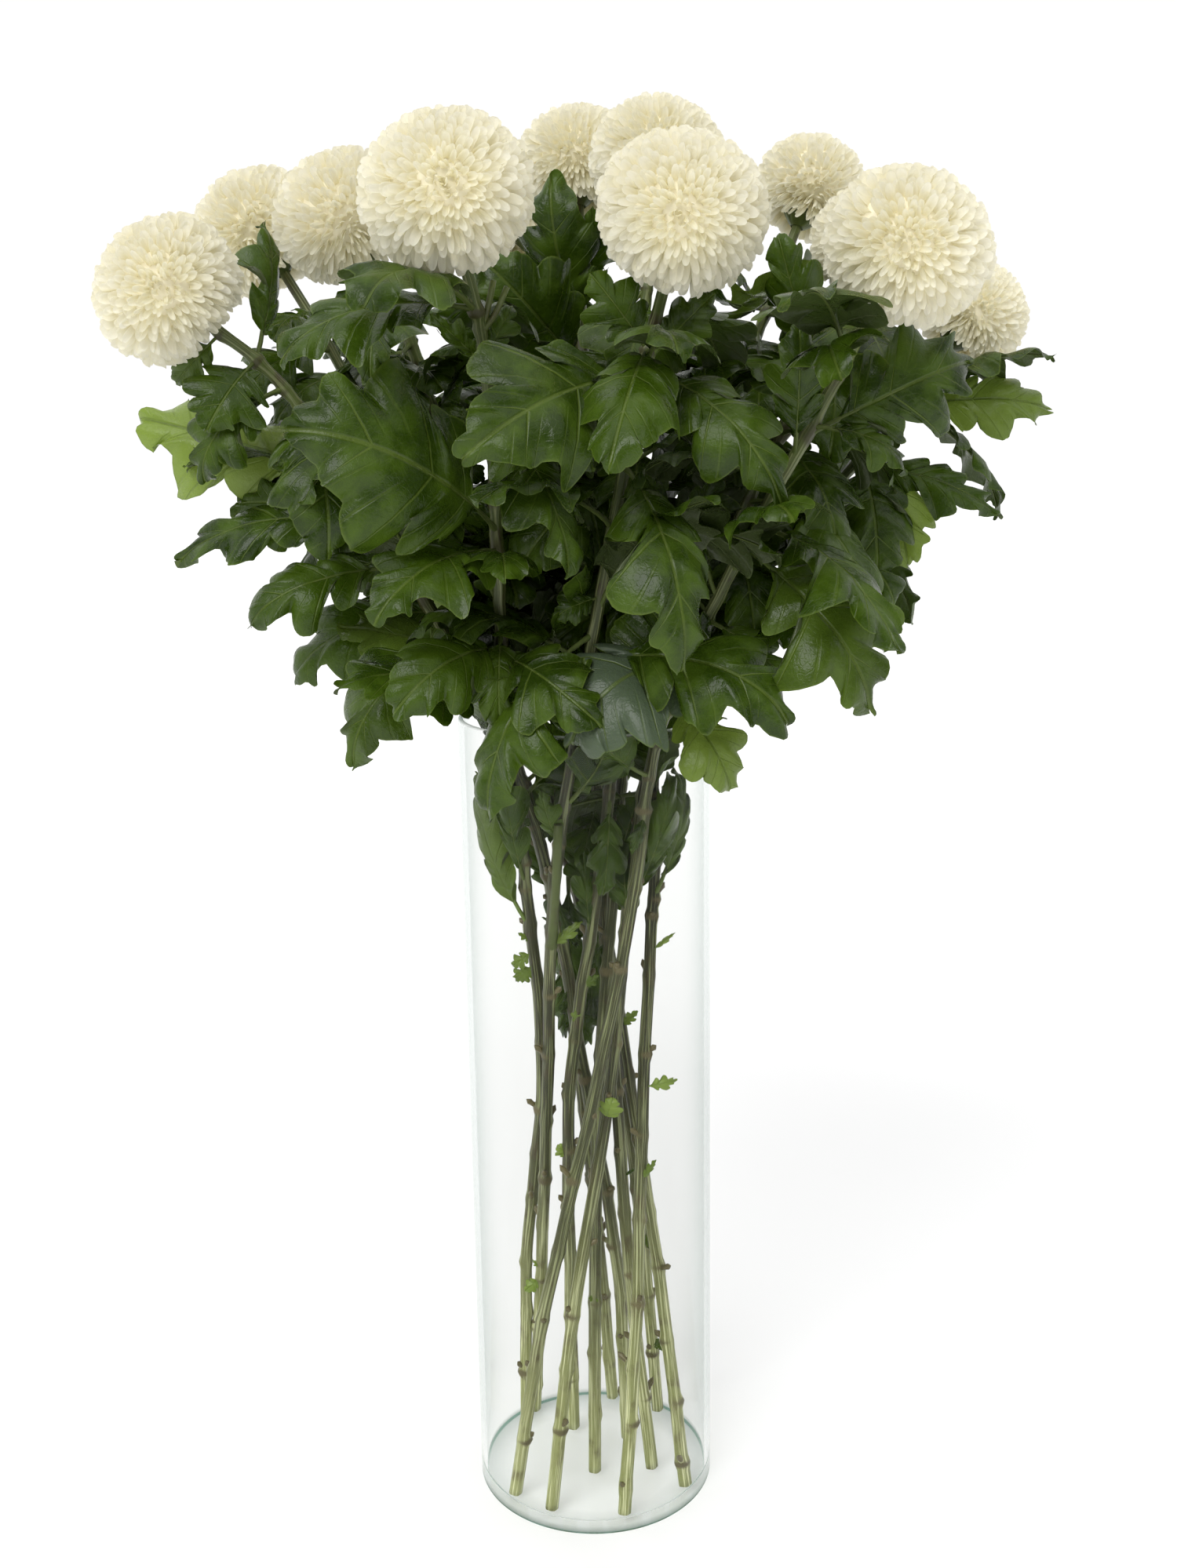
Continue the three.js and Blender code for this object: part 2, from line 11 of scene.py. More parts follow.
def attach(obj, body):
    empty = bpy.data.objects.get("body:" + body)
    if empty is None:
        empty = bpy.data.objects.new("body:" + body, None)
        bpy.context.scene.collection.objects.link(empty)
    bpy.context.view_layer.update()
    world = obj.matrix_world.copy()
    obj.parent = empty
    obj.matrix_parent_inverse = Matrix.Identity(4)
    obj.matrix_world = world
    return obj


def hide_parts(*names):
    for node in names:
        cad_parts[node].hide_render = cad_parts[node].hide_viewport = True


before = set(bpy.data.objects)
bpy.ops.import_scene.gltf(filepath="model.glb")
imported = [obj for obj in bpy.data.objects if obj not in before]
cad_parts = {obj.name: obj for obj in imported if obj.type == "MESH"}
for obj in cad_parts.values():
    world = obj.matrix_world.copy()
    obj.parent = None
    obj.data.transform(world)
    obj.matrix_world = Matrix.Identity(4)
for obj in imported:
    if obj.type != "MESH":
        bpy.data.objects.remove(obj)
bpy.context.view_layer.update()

# Camera: where the photo was taken from
SENSOR = 36.0
LENS = 37.59
CAMERA_PLACE = (0.0021, -0.9618, 0.6661)
CAMERA_DOWN = 12.27
CAMERA_ROLL = -0.909

# Vase
VASE_HEIGHT = 0.5
VASE_RADIUS = 0.075
VASE_WALL = 0.0035
VASE_BASE = 0.006
VASE_SIDES = 160

# Stems, as in the solids: the heights at which their places are given
TOUCH_GAP = 0.0003
STEM_HEIGHTS = (VASE_BASE + TOUCH_GAP, 0.13, 0.27, 0.4, VASE_HEIGHT)
STEM_RADIUS_FOOT = 0.004
STEM_RADIUS_TOP = 0.003
STEM_RINGS = 13
STEM_STRAIGHT = 0.06
CALYX_HEIGHT = 0.01
CALYX_RADIUS = 0.009

# Blooms
FLATNESS = 0.87
UNDERSIDE = 0.5

# Leaves, as in the solids: the fold and the width are shares of the leaf's length
LEAF_THICKNESS = 0.001
LEAF_FOLD = 0.12
LEAF_WIDEST = 0.33
LEAVES_ON_STEM = 11
LOWEST_LEAF = 0.43
LEAF_BELOW_HEAD = 0.025
LEAF_LENGTH = 0.126
LEAF_END_SHORTNESS = 0.25
LEAF_WRAP = 0.7
INNER_HEAD = 0.15
GOLDEN_ANGLE = 137.5
HELD_BELOW = VASE_HEIGHT - 0.03
FREE_ABOVE = VASE_HEIGHT + 0.11
HELD_ELEVATION = 60
FREE_ELEVATION = -32
ELEVATION_SPREAD = 32
FACE_UP = 0.7
LEAF_TRIES = 50
TRY_LIFT = 0.7
TRY_SHORTENING = 0.01
FOUND_WITHIN = 2e-5

# Leaves in the picture alone: short ones inside the bunch. Light is a leaf's share of the usual brightness,
# painted into its colour: painted shade on the leaves inside the bunch, and a darker paint on the fill leaves.
INNER_LEAVES = 9
LOWEST_INNER_LEAF = 0.455
INNER_LENGTHS = (0.075, 0.115)
INNER_ELEVATIONS = (70, 5)
INNER_SPREAD = 25
INNER_ARCH = 0.12
INNER_PAINTED_BRIGHTNESS = 0.35
FILL_PAINTED_BRIGHTNESS = 0.6
HIDES_WITHIN = 1.25
TIP_NODS = (0.0, 1.0)

# Each flower. As in the solids: the places that its stem passes from foot to rim, the head's centre, how far
# the head leans for each metre up, its radius, and the leaves that show in front. In the picture alone: the
# direction of its face's eye, dark leaves between the stems, which are painted shade, more leaves, sprouts,
# and
# cut side shoots. leaves and more: height on the stem, tip's x, y and z, face's x and z with y at -1, width,
# arch, newness from -1 for a painted silvery sheen to 1 for the paler green of new growth, partly a painted
# glow of light from behind, light, the share of the usual brightness painted in, and how far the tip may nod.
# dark: height, tip, face's x, width, light. sprouts: height, tip, width, newness. cuts: height, end, radius.
FLOWERS = [
    dict(
        name="a", stem=((.021, .017), (.016, .018), (-.004, .012), (-.024, .008), (-.056, -.008)),
        head=(-.222, -.037, .743), lean=(-1.1, -.3), radius=.043, eye=(.2, -.97, -.09),
        leaves=[
            (.64, -.262, .03, .677, 0, .6, .8, .03, .85, 1, (0, .1)),
            (.69, -.217, -.045, .64, -.3, .6, .9, .15), (.612, -.234, -.01, .595, -.375, .875, .6, .18),
            (.59, -.196, -.05, .566, -.2, .7, .8, .1), (.545, -.141, -.06, .481, -.5, .3, .8, .15, .15),
            (.705, -.173, .02, .786, 2, .2, .6, .05),
        ],
        dark=[(.33, -.017, .012, .303, .3, .4, .15), (.39, -.005, .011, .347, .1, .35, .15)],
        more=[
            (.705, -.202, -.055, .668, 0, .2, 1.5, .12), (.72, -.225, -.025, .692, -.4, -.4, 1, .15, .2),
            (.66, -.169, -.04, .646, 0, .5, .9, .14), (.43, -.045, -.01, .445, -.4, .1, .6, .1, .1),
            (.62, -.198, -.01, .628, -.3, .3, 1, .12),
        ],
    ),
    dict(
        name="b", stem=((.043, .048), (.034, .044), (.018, .038), (-.012, .046), (-.038, .042)),
        head=(-.194, .09, .786), lean=(-.6, .2), radius=.043, eye=(.03, -.99, -.28),
        leaves=[(.715, -.202, .025, .69, -.5, .3, .9, .1), (.64, -.209, .02, .62, -.625, .75, .8, .12)],
        dark=[
            (.285, .009, .036, .24, .2, .45, .15), (.34, -.005, .038, .269, 0, .45, .15),
            (.4, -.006, .037, .294, -.2, .4, .15), (.35, -.013, .042, .371, -.1, .5, .2),
            (.37, -.004, .044, .432, .2, .8, .2), (.4, -.022, .046, .455, -.3, .9, .2),
        ],
        more=[
            (.73, -.177, .02, .725, -.2, .3, .9, .1), (.66, -.206, .03, .626, 0, .4, .9, .12),
            (.54, -.13, .03, .555, -.2, .3, .9, .12, .8), (.42, -.027, .02, .423, -.2, .1, .9, .1),
            (.7, -.18, .02, .674, -.2, .3, 1, .12), (.735, -.165, .055, .735, 0, .4, 1.1, .12),
        ],
        sprouts=[(.128, .041, .04, .144, 1.3, .35), (.063, .047, .043, .053, .9, .25)],
    ),
    dict(
        name="c", stem=((.012, .064), (.004, .05), (-.008, .036), (-.026, .032), (-.05, .018)),
        head=(-.132, .015, .786), lean=(-.5, -.1), radius=.042, eye=(.36, -.96, -.45),
        leaves=[
            (.56, -.185, 0, .526, -.375, .875, .8, .15), (.715, -.112, -.04, .655, -.2, .4, .9, .12),
            (.66, -.145, -.045, .612, -.2, .5, .9, .12), (.63, -.077, -.062, .6, 0, .5, .9, .15),
        ],
        dark=[
            (.345, -.015, .035, .278, .2, .45, .15), (.395, -.017, .033, .335, .3, .4, .15),
            (.36, -.029, .03, .365, .4, .5, .2), (.375, -.039, .034, .42, .4, .6, .2),
            (.41, -.046, .028, .459, 0, .8, .2),
        ],
        more=[
            (.735, -.14, .04, .738, 0, .5, .8, .12), (.7, -.099, -.025, .679, .2, .3, .9, .1),
            (.6, -.148, -.01, .582, -.2, .4, .9, .12, .1), (.52, -.141, -.02, .556, -.375, .75, .9, .15, .3),
            (.45, -.012, .01, .455, 0, .1, .6, .1), (.7, -.076, -.035, .691, 0, .3, 1.2, .12),
            (.66, -.056, -.01, .637, -.1, .3, 1.1, .12),
        ],
    ),
    dict(
        name="d", stem=((-.048, .045), (-.044, .036), (-.03, .012), (-.036, -.02), (-.044, -.04)),
        head=(-.064, -.107, .782), lean=(-.2, -.45), radius=.0455, eye=(.09, -.96, -.04),
        cuts=[(.717, (-.043, -.079, .7415), .0017), (.716, (-.036, -.08, .738), .0016)],
        leaves=[
            (.727, -.154, -.125, .708, 0, 1 / .7, .85, .1), (.612, -.141, -.15, .676, 0, .5, 1.05, .12),
            (.6, -.107, -.14, .578, -.2, .6, 1, .12), (.545, -.101, -.12, .526, 0, .7, 1, .15),
        ],
        more=[
            (.7, -.073, -.115, .723, -.3, .3, .45, .08, .15), (.7, -.033, -.07, .731, .25, .375, .8, .1),
            (.555, -.046, -.095, .506, 0, .5, .85, .16, .1), (.5, -.08, -.07, .507, -.4, .2, .9, .2),
            (.372, -.066, -.008, .467, -.6, .2, .45, .12, .35), (.4, -.047, -.045, .488, -.2, .1, .4, .1),
            (.66, -.068, -.06, .678, .2, .3, 1, .12),
        ],
        sprouts=[
            (.355, -.047, -.011, .346, 1, .55), (.347, -.045, -.009, .335, 1.1, .5),
            (.363, -.042, -.015, .369, .8, .5), (.226, -.032, .019, .223, .3, .2),
        ],
    ),
    dict(
        name="e", stem=((.056, -.035), (.043, -.015), (.024, .018), (.006, .038), (-.006, .057)),
        head=(-.031, .215, .81), lean=(0, .5), radius=.04, eye=(-.27, -.71, .38),
        leaves=[(.715, -.08, .09, .685, -.4, .4, .9, .1), (.69, -.005, .09, .64, .2, .4, .9, .1)],
        dark=[
            (.375, 0, .03, .28, -.2, .35, .15), (.385, -.001, .04, .41, .2, .8, .2),
            (.42, -.01, .052, .471, -.3, .8, .2), (.4, .014, .045, .454, -.1, .9, .2),
        ],
        more=[
            (.66, -.061, .11, .771, -.2, .2, 1, .1), (.6, -.121, .08, .564, -.3, .3, 1, .1, .55),
            (.45, .041, .03, .419, .2, .1, .9, .1), (.7, -.086, .1, .747, -.2, .3, 1.1, .12),
        ],
        sprouts=[(.294, .031, .019, .306, .8, .5)],
    ),
    dict(
        name="f", stem=((.036, -.016), (.024, -.01), (.016, .006), (.009, .024), (.006, .042)),
        head=(.002, .13, .829), lean=(0, .3), radius=.04, eye=(-.12, -.95, -.04),
        leaves=[
            (.72, -.019, .04, .807, -.3, .1, .9, .05), (.7, -.052, .02, .762, -.3, .4, 1, .08),
            (.74, .01, .03, .8, .3, .2, .7, .08), (.65, -.052, .015, .625, -.2, .4, .9, .1),
        ],
        dark=[
            (.39, -.003, .024, .376, .1, .5, .15), (.38, .021, .025, .431, .4, .7, .2),
            (.395, -.002, .032, .447, 0, .9, .2),
        ],
        more=[(.62, -.001, 0, .574, 0, .3, 1, .1), (.44, -.004, -.005, .404, -.1, .1, .8, .1)],
        sprouts=[(.203, .028, -.005, .21, .4, .1)],
    ),
    dict(
        name="g", stem=((-.015, .029), (-.015, .015), (-.012, -.013), (.007, -.018), (.02, -.012)),
        head=(.048, .042, .817), lean=(.1, .1), radius=.041, eye=(-.05, -.92, .06),
        leaves=[
            (.705, -.025, -.04, .668, -.3, .3, 1, .1), (.735, .023, -.05, .688, .1, .4, 1, .12),
            (.64, -.039, -.06, .594, -.3, .3, .9, .12), (.655, .012, -.078, .598, .1, .4, .9, .14),
            (.56, -.016, -.072, .545, 0, .5, .9, .15),
        ],
        dark=[(.365, -.002, -.014, .419, 0, .5, .2)],
        more=[
            (.68, .027, -.04, .66, .2, .4, .9, .12), (.6, -.018, -.05, .601, -.1, .3, 1, .12),
            (.455, .01, -.035, .393, .1, .2, .6, .08, .05), (.72, .074, -.01, .706, .2, .3, 1, .12),
            (.66, .009, -.01, .638, 0, .3, 1.1, .12),
        ],
        sprouts=[
            (.31, -.007, -.02, .323, .9, .5), (.334, .006, -.022, .344, .8, .3),
            (.217, -.021, -.007, .228, 1.2, .95), (.217, -.004, -.007, .225, 1.1, .9),
        ],
    ),
    dict(
        name="h", stem=((-.042, .051), (-.034, .03), (-.026, -.008), (-.019, -.036), (-.004, -.056)),
        head=(.054, -.102, .772), lean=(.25, -.45), radius=.045, eye=(-.11, -1.01, -.23),
        cuts=[(.365, (-.0155, -.053, .445), .0027)],
        leaves=[
            (.69, -.056, -.16, .656, 0, .6, .95, .12), (.705, .008, -.165, .638, 0, .6, .9, .14),
            (.695, .107, -.13, .628, .3, .6, .8, .14), (.645, .057, -.15, .542, .2, .4, .8, .16),
            (.54, .119, -.12, .523, 0, 1.25, .9, .12),
        ],
        more=[
            (.705, .007, -.085, .744, 0, .15, 1.15, .08, .05),
            (.7, .071, -.085, .733, .1, .15, .95, .06, .15), (.575, -.018, -.075, .565, -.2, .3, .9, .14),
            (.51, .001, -.095, .518, -.5, .2, 1.25, .2), (.43, -.025, -.055, .465, -.2, -.3, .8, .08, .15),
        ],
        sprouts=[
            (.363, -.003, -.031, .381, .5, .6), (.115, -.046, .029, .107, 1.3, .9),
            (.123, -.04, .028, .13, .8, .8),
        ],
    ),
    dict(
        name="i", stem=((-.001, -.019), (.001, -.016), (.006, -.006), (.018, .012), (.03, .03)),
        head=(.15, .14, .813), lean=(.4, .3), radius=.0375, eye=(.04, -.97, -.51),
        leaves=[
            (.722, .111, .005, .652, 0, .4, .95, .1), (.68, .087, .015, .588, 0, .4, .95, .12),
            (.735, .185, .05, .69, .3, .4, .9, .1),
        ],
        dark=[(.36, .001, .008, .335, -.3, .35, .15), (.4, .035, .016, .453, -.1, .8, .2)],
        more=[
            (.765, .09, -.005, .739, 0, -.625, .8, .08, .35), (.7, .076, .01, .716, -.2, .2, .8, .1),
            (.43, .025, .01, .37, .1, .1, .7, .1, .1), (.69, .058, .02, .636, 0, .3, 1.1, .12),
            (.66, .117, .03, .598, .1, .3, 1.1, .12),
        ],
        sprouts=[(.133, -.001, -.02, .124, 1, .5)],
    ),
    dict(
        name="j", stem=((-.051, -.04), (-.031, -.045), (.002, -.036), (.028, -.04), (.044, -.045)),
        head=(.169, -.093, .754), lean=(.5, -.35), radius=.045, eye=(-.27, -.98, -.12),
        leaves=[
            (.6, .17, -.11, .51, .3, .3, 1, .12, .2), (.66, .221, -.06, .705, 0, .2, 1, .06),
            (.65, .115, -.09, .717, 0, .1, .8, .06), (.512, .085, -.095, .469, .2, .3, .9, .2, .6),
        ],
        more=[
            (.535, -.016, -.112, .505, -.3, .6, 1.4, .2, -.9), (.665, .18, -.075, .643, .1, .8, .7, .14),
            (.56, .113, -.07, .528, .2, .4, .9, .14), (.45, .026, -.048, .425, .2, .2, .6, .1),
        ],
    ),
    dict(
        name="k", stem=((.017, -.062), (.026, -.048), (.033, -.018), (.042, .005), (.051, .025)),
        head=(.247, .1, .732), lean=(.8, .3), radius=.036, eye=(-.28, -.98, -.13),
        leaves=[
            (.675, .293, .06, .676, 0, .4, .8, .12, .5), (.64, .255, .04, .614, .1, .6, .6, .12),
            (.61, .192, .005, .562, .2, .4, .9, .12),
        ],
        dark=[(.41, .054, .012, .461, -.3, .6, .2)],
        more=[
            (.655, .198, .03, .582, .1, .2, .9, .1, .65), (.59, .142, .05, .533, 0, .3, 1, .1, .85),
            (.385, .063, 0, .471, .6, .1, .45, .1, .15),
        ],
        sprouts=[
            (.352, .054, -.005, .365, .32, .75), (.27, .054, -.02, .275, .7, .75),
            (.214, .04, -.032, .229, .5, .5),
        ],
    ),
    dict(
        name="l", stem=((-.028, -.056), (-.013, -.05), (.012, -.026), (.027, -.014), (.046, .002)),
        head=(.172, .04, .768), lean=(.5, .1), radius=.037, eye=(-.28, -1, -.31),
        leaves=[
            (.7, .112, -.01, .769, -.2, .2, .7, .06), (.71, .141, -.045, .654, .1, .4, 1, .12),
            (.655, .147, -.055, .6, .2, .4, .95, .12), (.6, .096, -.065, .553, 0, .4, .9, .14),
        ],
        dark=[(.37, .02, -.005, .428, .2, .6, .2)],
        more=[
            (.735, .172, .07, .729, .1, .2, 1, .08, .9), (.715, .115, .04, .759, -.2, .2, .9, .08),
            (.66, .169, -.03, .659, .2, .4, .8, .12), (.56, .098, -.03, .531, .3, .2, 1, .14),
            (.385, .053, -.04, .471, .3, .2, .4, .1, .1), (.7, .12, .02, .72, 0, .3, 1, .12),
        ],
        sprouts=[(.254, .014, -.034, .27, 1.5, .95)],
    ),
]


def draw(low, high, *keys):
    """The same repeatable draw between two values as in the solids, told apart by whole-number keys."""
    value = 2166136261
    for key in keys:
        value = (value ^ (key + 1)) * 16777619 & 0xFFFFFFFF
        value = (value ^ (value >> 13)) * 1540483477 & 0xFFFFFFFF
    return low + (high - low) * (value ^ (value >> 15)) / 2**32


def lerp(low, high, share):
    return low + (high - low) * share


def smoothstep(value, low, high):
    share = np.clip((value - low) / (high - low), 0, 1)
    return share * share * (3 - 2 * share)


def vector(*numbers):
    return np.array(numbers, float)


def unit(direction):
    return direction / np.linalg.norm(direction, axis=-1, keepdims=True)


def ring(turn):
    """The points at angles round a circle of radius 1."""
    return np.stack([np.cos(turn), np.sin(turn)], -1)


def heading(azimuth, elevation):
    """The unit direction at two angles in radians."""
    flat = math.cos(elevation)
    return vector(flat * math.cos(azimuth), flat * math.sin(azimuth), math.sin(elevation))


def eased(start, end, leave, arrive, share):
    """The cubic curve between two points with the slopes that it leaves and arrives with."""
    bend = 3 * (end - start) - 2 * leave - arrive
    twist = 2 * (start - end) + leave + arrive
    return start + share * (leave + share * (bend + share * twist))


class StemCurve:
    """The centripetal curve through a stem's points, from its foot to the flat top of its calyx."""

    def __init__(self, flower):
        head = vector(*flower["head"])
        self.axis = unit(vector(*flower["lean"], 1))
        top = head - self.axis * (flower["radius"] * FLATNESS * UNDERSIDE + TOUCH_GAP)
        points = [vector(*place, height) for place, height in zip(flower["stem"], STEM_HEIGHTS)]
        points += [top - self.axis * STEM_STRAIGHT, top]
        self.points = [2 * points[0] - points[1], *points, 2 * points[-1] - points[-2]]

    def point(self, along):
        spans = len(self.points) - 3
        span = min(int(spans * along), spans - 1)
        x0, x1, x2, x3 = self.points[span:span + 4]
        d0, d1, d2 = (np.sum((b - a) ** 2) ** 0.25 for a, b in ((x0, x1), (x1, x2), (x2, x3)))
        leave = ((x1 - x0) / d0 - (x2 - x0) / (d0 + d1) + (x2 - x1) / d1) * d1
        arrive = ((x2 - x1) / d1 - (x3 - x1) / (d1 + d2) + (x3 - x2) / d2) * d1
        return eased(x1, x2, leave, arrive, spans * along - span)

    def spine(self):
        """The points between which the solid's stem runs straight."""
        top = self.point(1)
        step = 1e-4
        axis = unit(top - self.point(1 - step))
        rings = [self.point(i / STEM_RINGS) for i in range(STEM_RINGS)]
        return rings + [top - axis * below for below in (CALYX_HEIGHT, CALYX_HEIGHT / 2, 0)]


def stem_point_at(spine, height):
    after = next(i for i, point in enumerate(spine) if point[2] > height)
    low, high = spine[after - 1], spine[after]
    return lerp(low, high, (height - low[2]) / (high[2] - low[2]))


# light: the share of the usual brightness painted into the leaf's colour, low on leaves in painted shade.
def make_leaf(height, tip, face, width, arch, young=0, light=1, nods=TIP_NODS):
    shape = dict(height=height, tip=tip, face=face, width=width, arch=arch, nods=nods)
    return dict(shape, young=young, light=light)


def leaf_from_row(height, x, y, z, face_x, face_z, *rest):
    return make_leaf(height, vector(x, y, z), vector(face_x, -1, face_z), *rest)


def placed_leaf(leaf, root, tip, key):
    """A leaf from its root to its tip, with the unit directions along and out of it."""
    forward = unit(tip - root)
    normal = unit(leaf["face"] - forward * np.dot(leaf["face"], forward))
    return dict(leaf, root=root, tip=tip, forward=forward, normal=normal, key=key)


def leaf_candidate(root, leaf, key, attempt, reach):
    """Where a leaf may go: its own place first, then places that turn, lift and shorten it bit by bit."""
    offset = leaf["tip"] - root
    stray = math.radians(reach * attempt) / 2
    azimuth = math.atan2(offset[1], offset[0]) + draw(-stray, stray, key, attempt, 1)
    elevation = math.atan2(offset[2], math.hypot(offset[0], offset[1]))
    elevation += TRY_LIFT * draw(-stray, stray, key, attempt, 2)
    return root + np.linalg.norm(offset) * (1 - TRY_SHORTENING * attempt) * heading(azimuth, elevation)


def found_leaves(leaves, plant, first_key, reach):
    """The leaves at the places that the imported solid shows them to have."""
    found = []
    for k, leaf in enumerate(leaves):
        root = stem_point_at(plant["spine"], leaf["height"])
        key = plant["index"] * 100 + first_key + k
        for attempt in range(LEAF_TRIES):
            tip = leaf_candidate(root, leaf, key, attempt, reach)
            placed = placed_leaf(leaf, root, tip, key)
            half = placed["normal"] * LEAF_THICKNESS / 2
            if min(plant["tree"].find(end)[2] for end in (tip + half, tip - half)) < FOUND_WITHIN:
                found.append(placed)
                break
    return found


def fill_leaves(flower, plant):
    """The leaves that fill a stem up, as in the solids, painted at less than the usual brightness."""
    index = plant["index"]
    missing = LEAVES_ON_STEM - len(flower["leaves"])
    x, y, _ = flower["head"]
    wrap = 1 if math.hypot(x, y) < INNER_HEAD else LEAF_WRAP
    start = draw(0, 360, index, 3)
    leaves = []
    for k in range(missing):
        share = (k + 0.5) / missing
        height = lerp(LOWEST_LEAF, plant["highest"], share)
        turn = ((k * GOLDEN_ANGLE + start) % 360 - 180) * wrap
        azimuth = math.atan2(y, x) + math.radians(turn)
        elevation = lerp(HELD_ELEVATION, FREE_ELEVATION, smoothstep(height, HELD_BELOW, FREE_ABOVE))
        elevation = math.radians(elevation + draw(-ELEVATION_SPREAD, ELEVATION_SPREAD, index, k, 4))
        fullness = 1 - LEAF_END_SHORTNESS * (1 - math.sin(math.pi * share))
        length = LEAF_LENGTH * fullness * draw(0.9, 1.1, index, k, 5)
        tip = stem_point_at(plant["spine"], height) + length * heading(azimuth, elevation)
        face = heading(azimuth, 0) * draw(0.6, 1.4, index, k, 6) + vector(0, 0, FACE_UP)
        width, arch = draw(0.8, 1.05, index, k, 7), draw(0.08, 0.2, index, k, 8)
        leaves.append(make_leaf(height, tip, face, width, arch, light=FILL_PAINTED_BRIGHTNESS))
    return leaves


def covers_bloom(tip):
    """Whether a leaf's tip would hide a part of a bloom from the front."""
    for flower in FLOWERS:
        x, y, z = flower["head"]
        if tip[1] < y and math.hypot(tip[0] - x, tip[2] - z) < HIDES_WITHIN * flower["radius"]:
            return True
    return False


def inner_leaves(plant):
    """Short leaves that thicken the bunch among its stems, painted darker as shade."""
    index = plant["index"]
    leaves = []
    for k in range(INNER_LEAVES):
        share = (k + draw(0.2, 0.8, index, k, 21)) / INNER_LEAVES
        height = lerp(LOWEST_INNER_LEAF, plant["highest"], share**0.75)
        azimuth = math.radians(k * GOLDEN_ANGLE + draw(0, 360, index, 22))
        elevation = lerp(*INNER_ELEVATIONS, smoothstep(height, HELD_BELOW, FREE_ABOVE))
        elevation = math.radians(elevation + draw(-INNER_SPREAD, INNER_SPREAD, index, k, 23))
        away = heading(azimuth, elevation)
        tip = stem_point_at(plant["spine"], height) + away * draw(*INNER_LENGTHS, index, k, 24)
        face = vector(away[0], away[1], draw(0.3, 1.0, index, k, 25))
        if not covers_bloom(tip):
            width = draw(0.85, 1.15, index, k, 26)
            leaves.append(make_leaf(height, tip, face, width, INNER_ARCH, light=INNER_PAINTED_BRIGHTNESS))
    return leaves


def make_plant(flower, index):
    """A flower with its stem's curve and its leaves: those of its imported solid, and those of the picture."""
    curve = StemCurve(flower)
    spine = curve.spine()
    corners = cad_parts[f"leafy_stem_{flower['name']}"].data.vertices
    tree = kdtree.KDTree(len(corners))
    for i, corner in enumerate(corners):
        tree.insert(corner.co, i)
    tree.balance()
    plant = dict(index=index, curve=curve, spine=spine, tree=tree, highest=spine[-1][2] - LEAF_BELOW_HEAD)
    leaves = found_leaves([leaf_from_row(*row) for row in flower["leaves"]], plant, first_key=0, reach=1)
    leaves += found_leaves(fill_leaves(flower, plant), plant, first_key=50, reach=9)
    # Dark leaves among the stems, whose low light share paints them in shade.
    more = [leaf_from_row(*place, face_x, 0.1, width, 0.1, 0, light)
            for *place, face_x, width, light in flower.get("dark", [])]
    more += [leaf_from_row(*row) for row in flower["more"]] + inner_leaves(plant)
    sprouts = [leaf_from_row(*place, 0, 0.4, width, 0.15, young)
               for *place, width, young in flower.get("sprouts", [])]
    plant["leaves"], plant["sprouts"] = leaves, []
    for kind, first_key, group in (("leaves", 70, more), ("sprouts", 0, sprouts)):
        for k, leaf in enumerate(group):
            root = stem_point_at(spine, leaf["height"])
            plant[kind].append(placed_leaf(leaf, root, leaf["tip"], 100 * index + first_key + k))
    return plant




class Shape:
    """Gathers grids of points into one mesh, with a uv and a tint at every point."""

    def __init__(self):
        self.points, self.uvs, self.tints, self.faces, self.looks = [], [], [], [], []
        self.count = 0

    def grids(self, points, uv, tint, look=0, closed=False):
        """Adds grids of (grids, rows, columns, 3) points; closed joins the last column to the first."""
        number, rows, columns, _ = points.shape
        self.points.append(points.reshape(-1, 3))
        self.uvs.append(np.broadcast_to(uv, (number, rows, columns, 2)).reshape(-1, 2))
        self.tints.append(np.broadcast_to(tint, (number, rows, columns, 3)).reshape(-1, 3))
        corner = np.arange(rows * columns).reshape(rows, columns)
        across = np.roll(corner, -1, axis=1) if closed else corner[:, 1:]
        here = corner if closed else corner[:, :-1]
        quads = np.stack([here[:-1], across[:-1], across[1:], here[1:]], axis=-1).reshape(-1, 4)
        starts = self.count + np.arange(number)[:, None, None] * rows * columns
        self.faces.append((quads[None] + starts).reshape(-1, 4))
        self.looks.append(np.full(number * len(quads), look))
        self.count += number * rows * columns

    def grid(self, points, uv=(0, 0), tint=(0, 0, 0), look=0, closed=False):
        self.grids(points[None], np.asarray(uv, float), np.asarray(tint, float), look, closed)

    def piece(self, name, *materials):
        """The mesh object, which rides on the body."""
        mesh = bpy.data.meshes.new(name)
        faces = np.concatenate(self.faces)
        mesh.from_pydata(np.concatenate(self.points), [], faces)
        corners = faces.reshape(-1)
        uvs = np.concatenate(self.uvs)[corners].reshape(-1)
        mesh.uv_layers.new(name="places").data.foreach_set("uv", uvs)
        tints = np.concatenate(self.tints)
        colours = mesh.color_attributes.new(name="tint", type="FLOAT_COLOR", domain="POINT")
        colours.data.foreach_set("color", np.column_stack([tints, np.ones(len(tints))]).reshape(-1))
        mesh.polygons.foreach_set("material_index", np.concatenate(self.looks))
        mesh.shade_smooth()
        for material in materials:
            mesh.materials.append(material)
        piece = bpy.data.objects.new(name, mesh)
        bpy.context.scene.collection.objects.link(piece)
        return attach(piece, "root")


def tube_grid(path, radii, reference, sides):
    """Rings of points round a path, the first point of each on the side of the reference direction."""
    ahead = unit(np.gradient(path, axis=0))
    across = unit(np.cross(reference, ahead))
    above = np.cross(ahead, across)
    turn = 2 * np.pi * np.arange(sides) / sides
    radii = np.broadcast_to(np.asarray(radii, float).reshape(len(path), -1), (len(path), sides))[..., None]
    return (path[:, None] + radii * np.cos(turn)[None, :, None] * across[:, None]
            + radii * np.sin(turn)[None, :, None] * above[:, None])


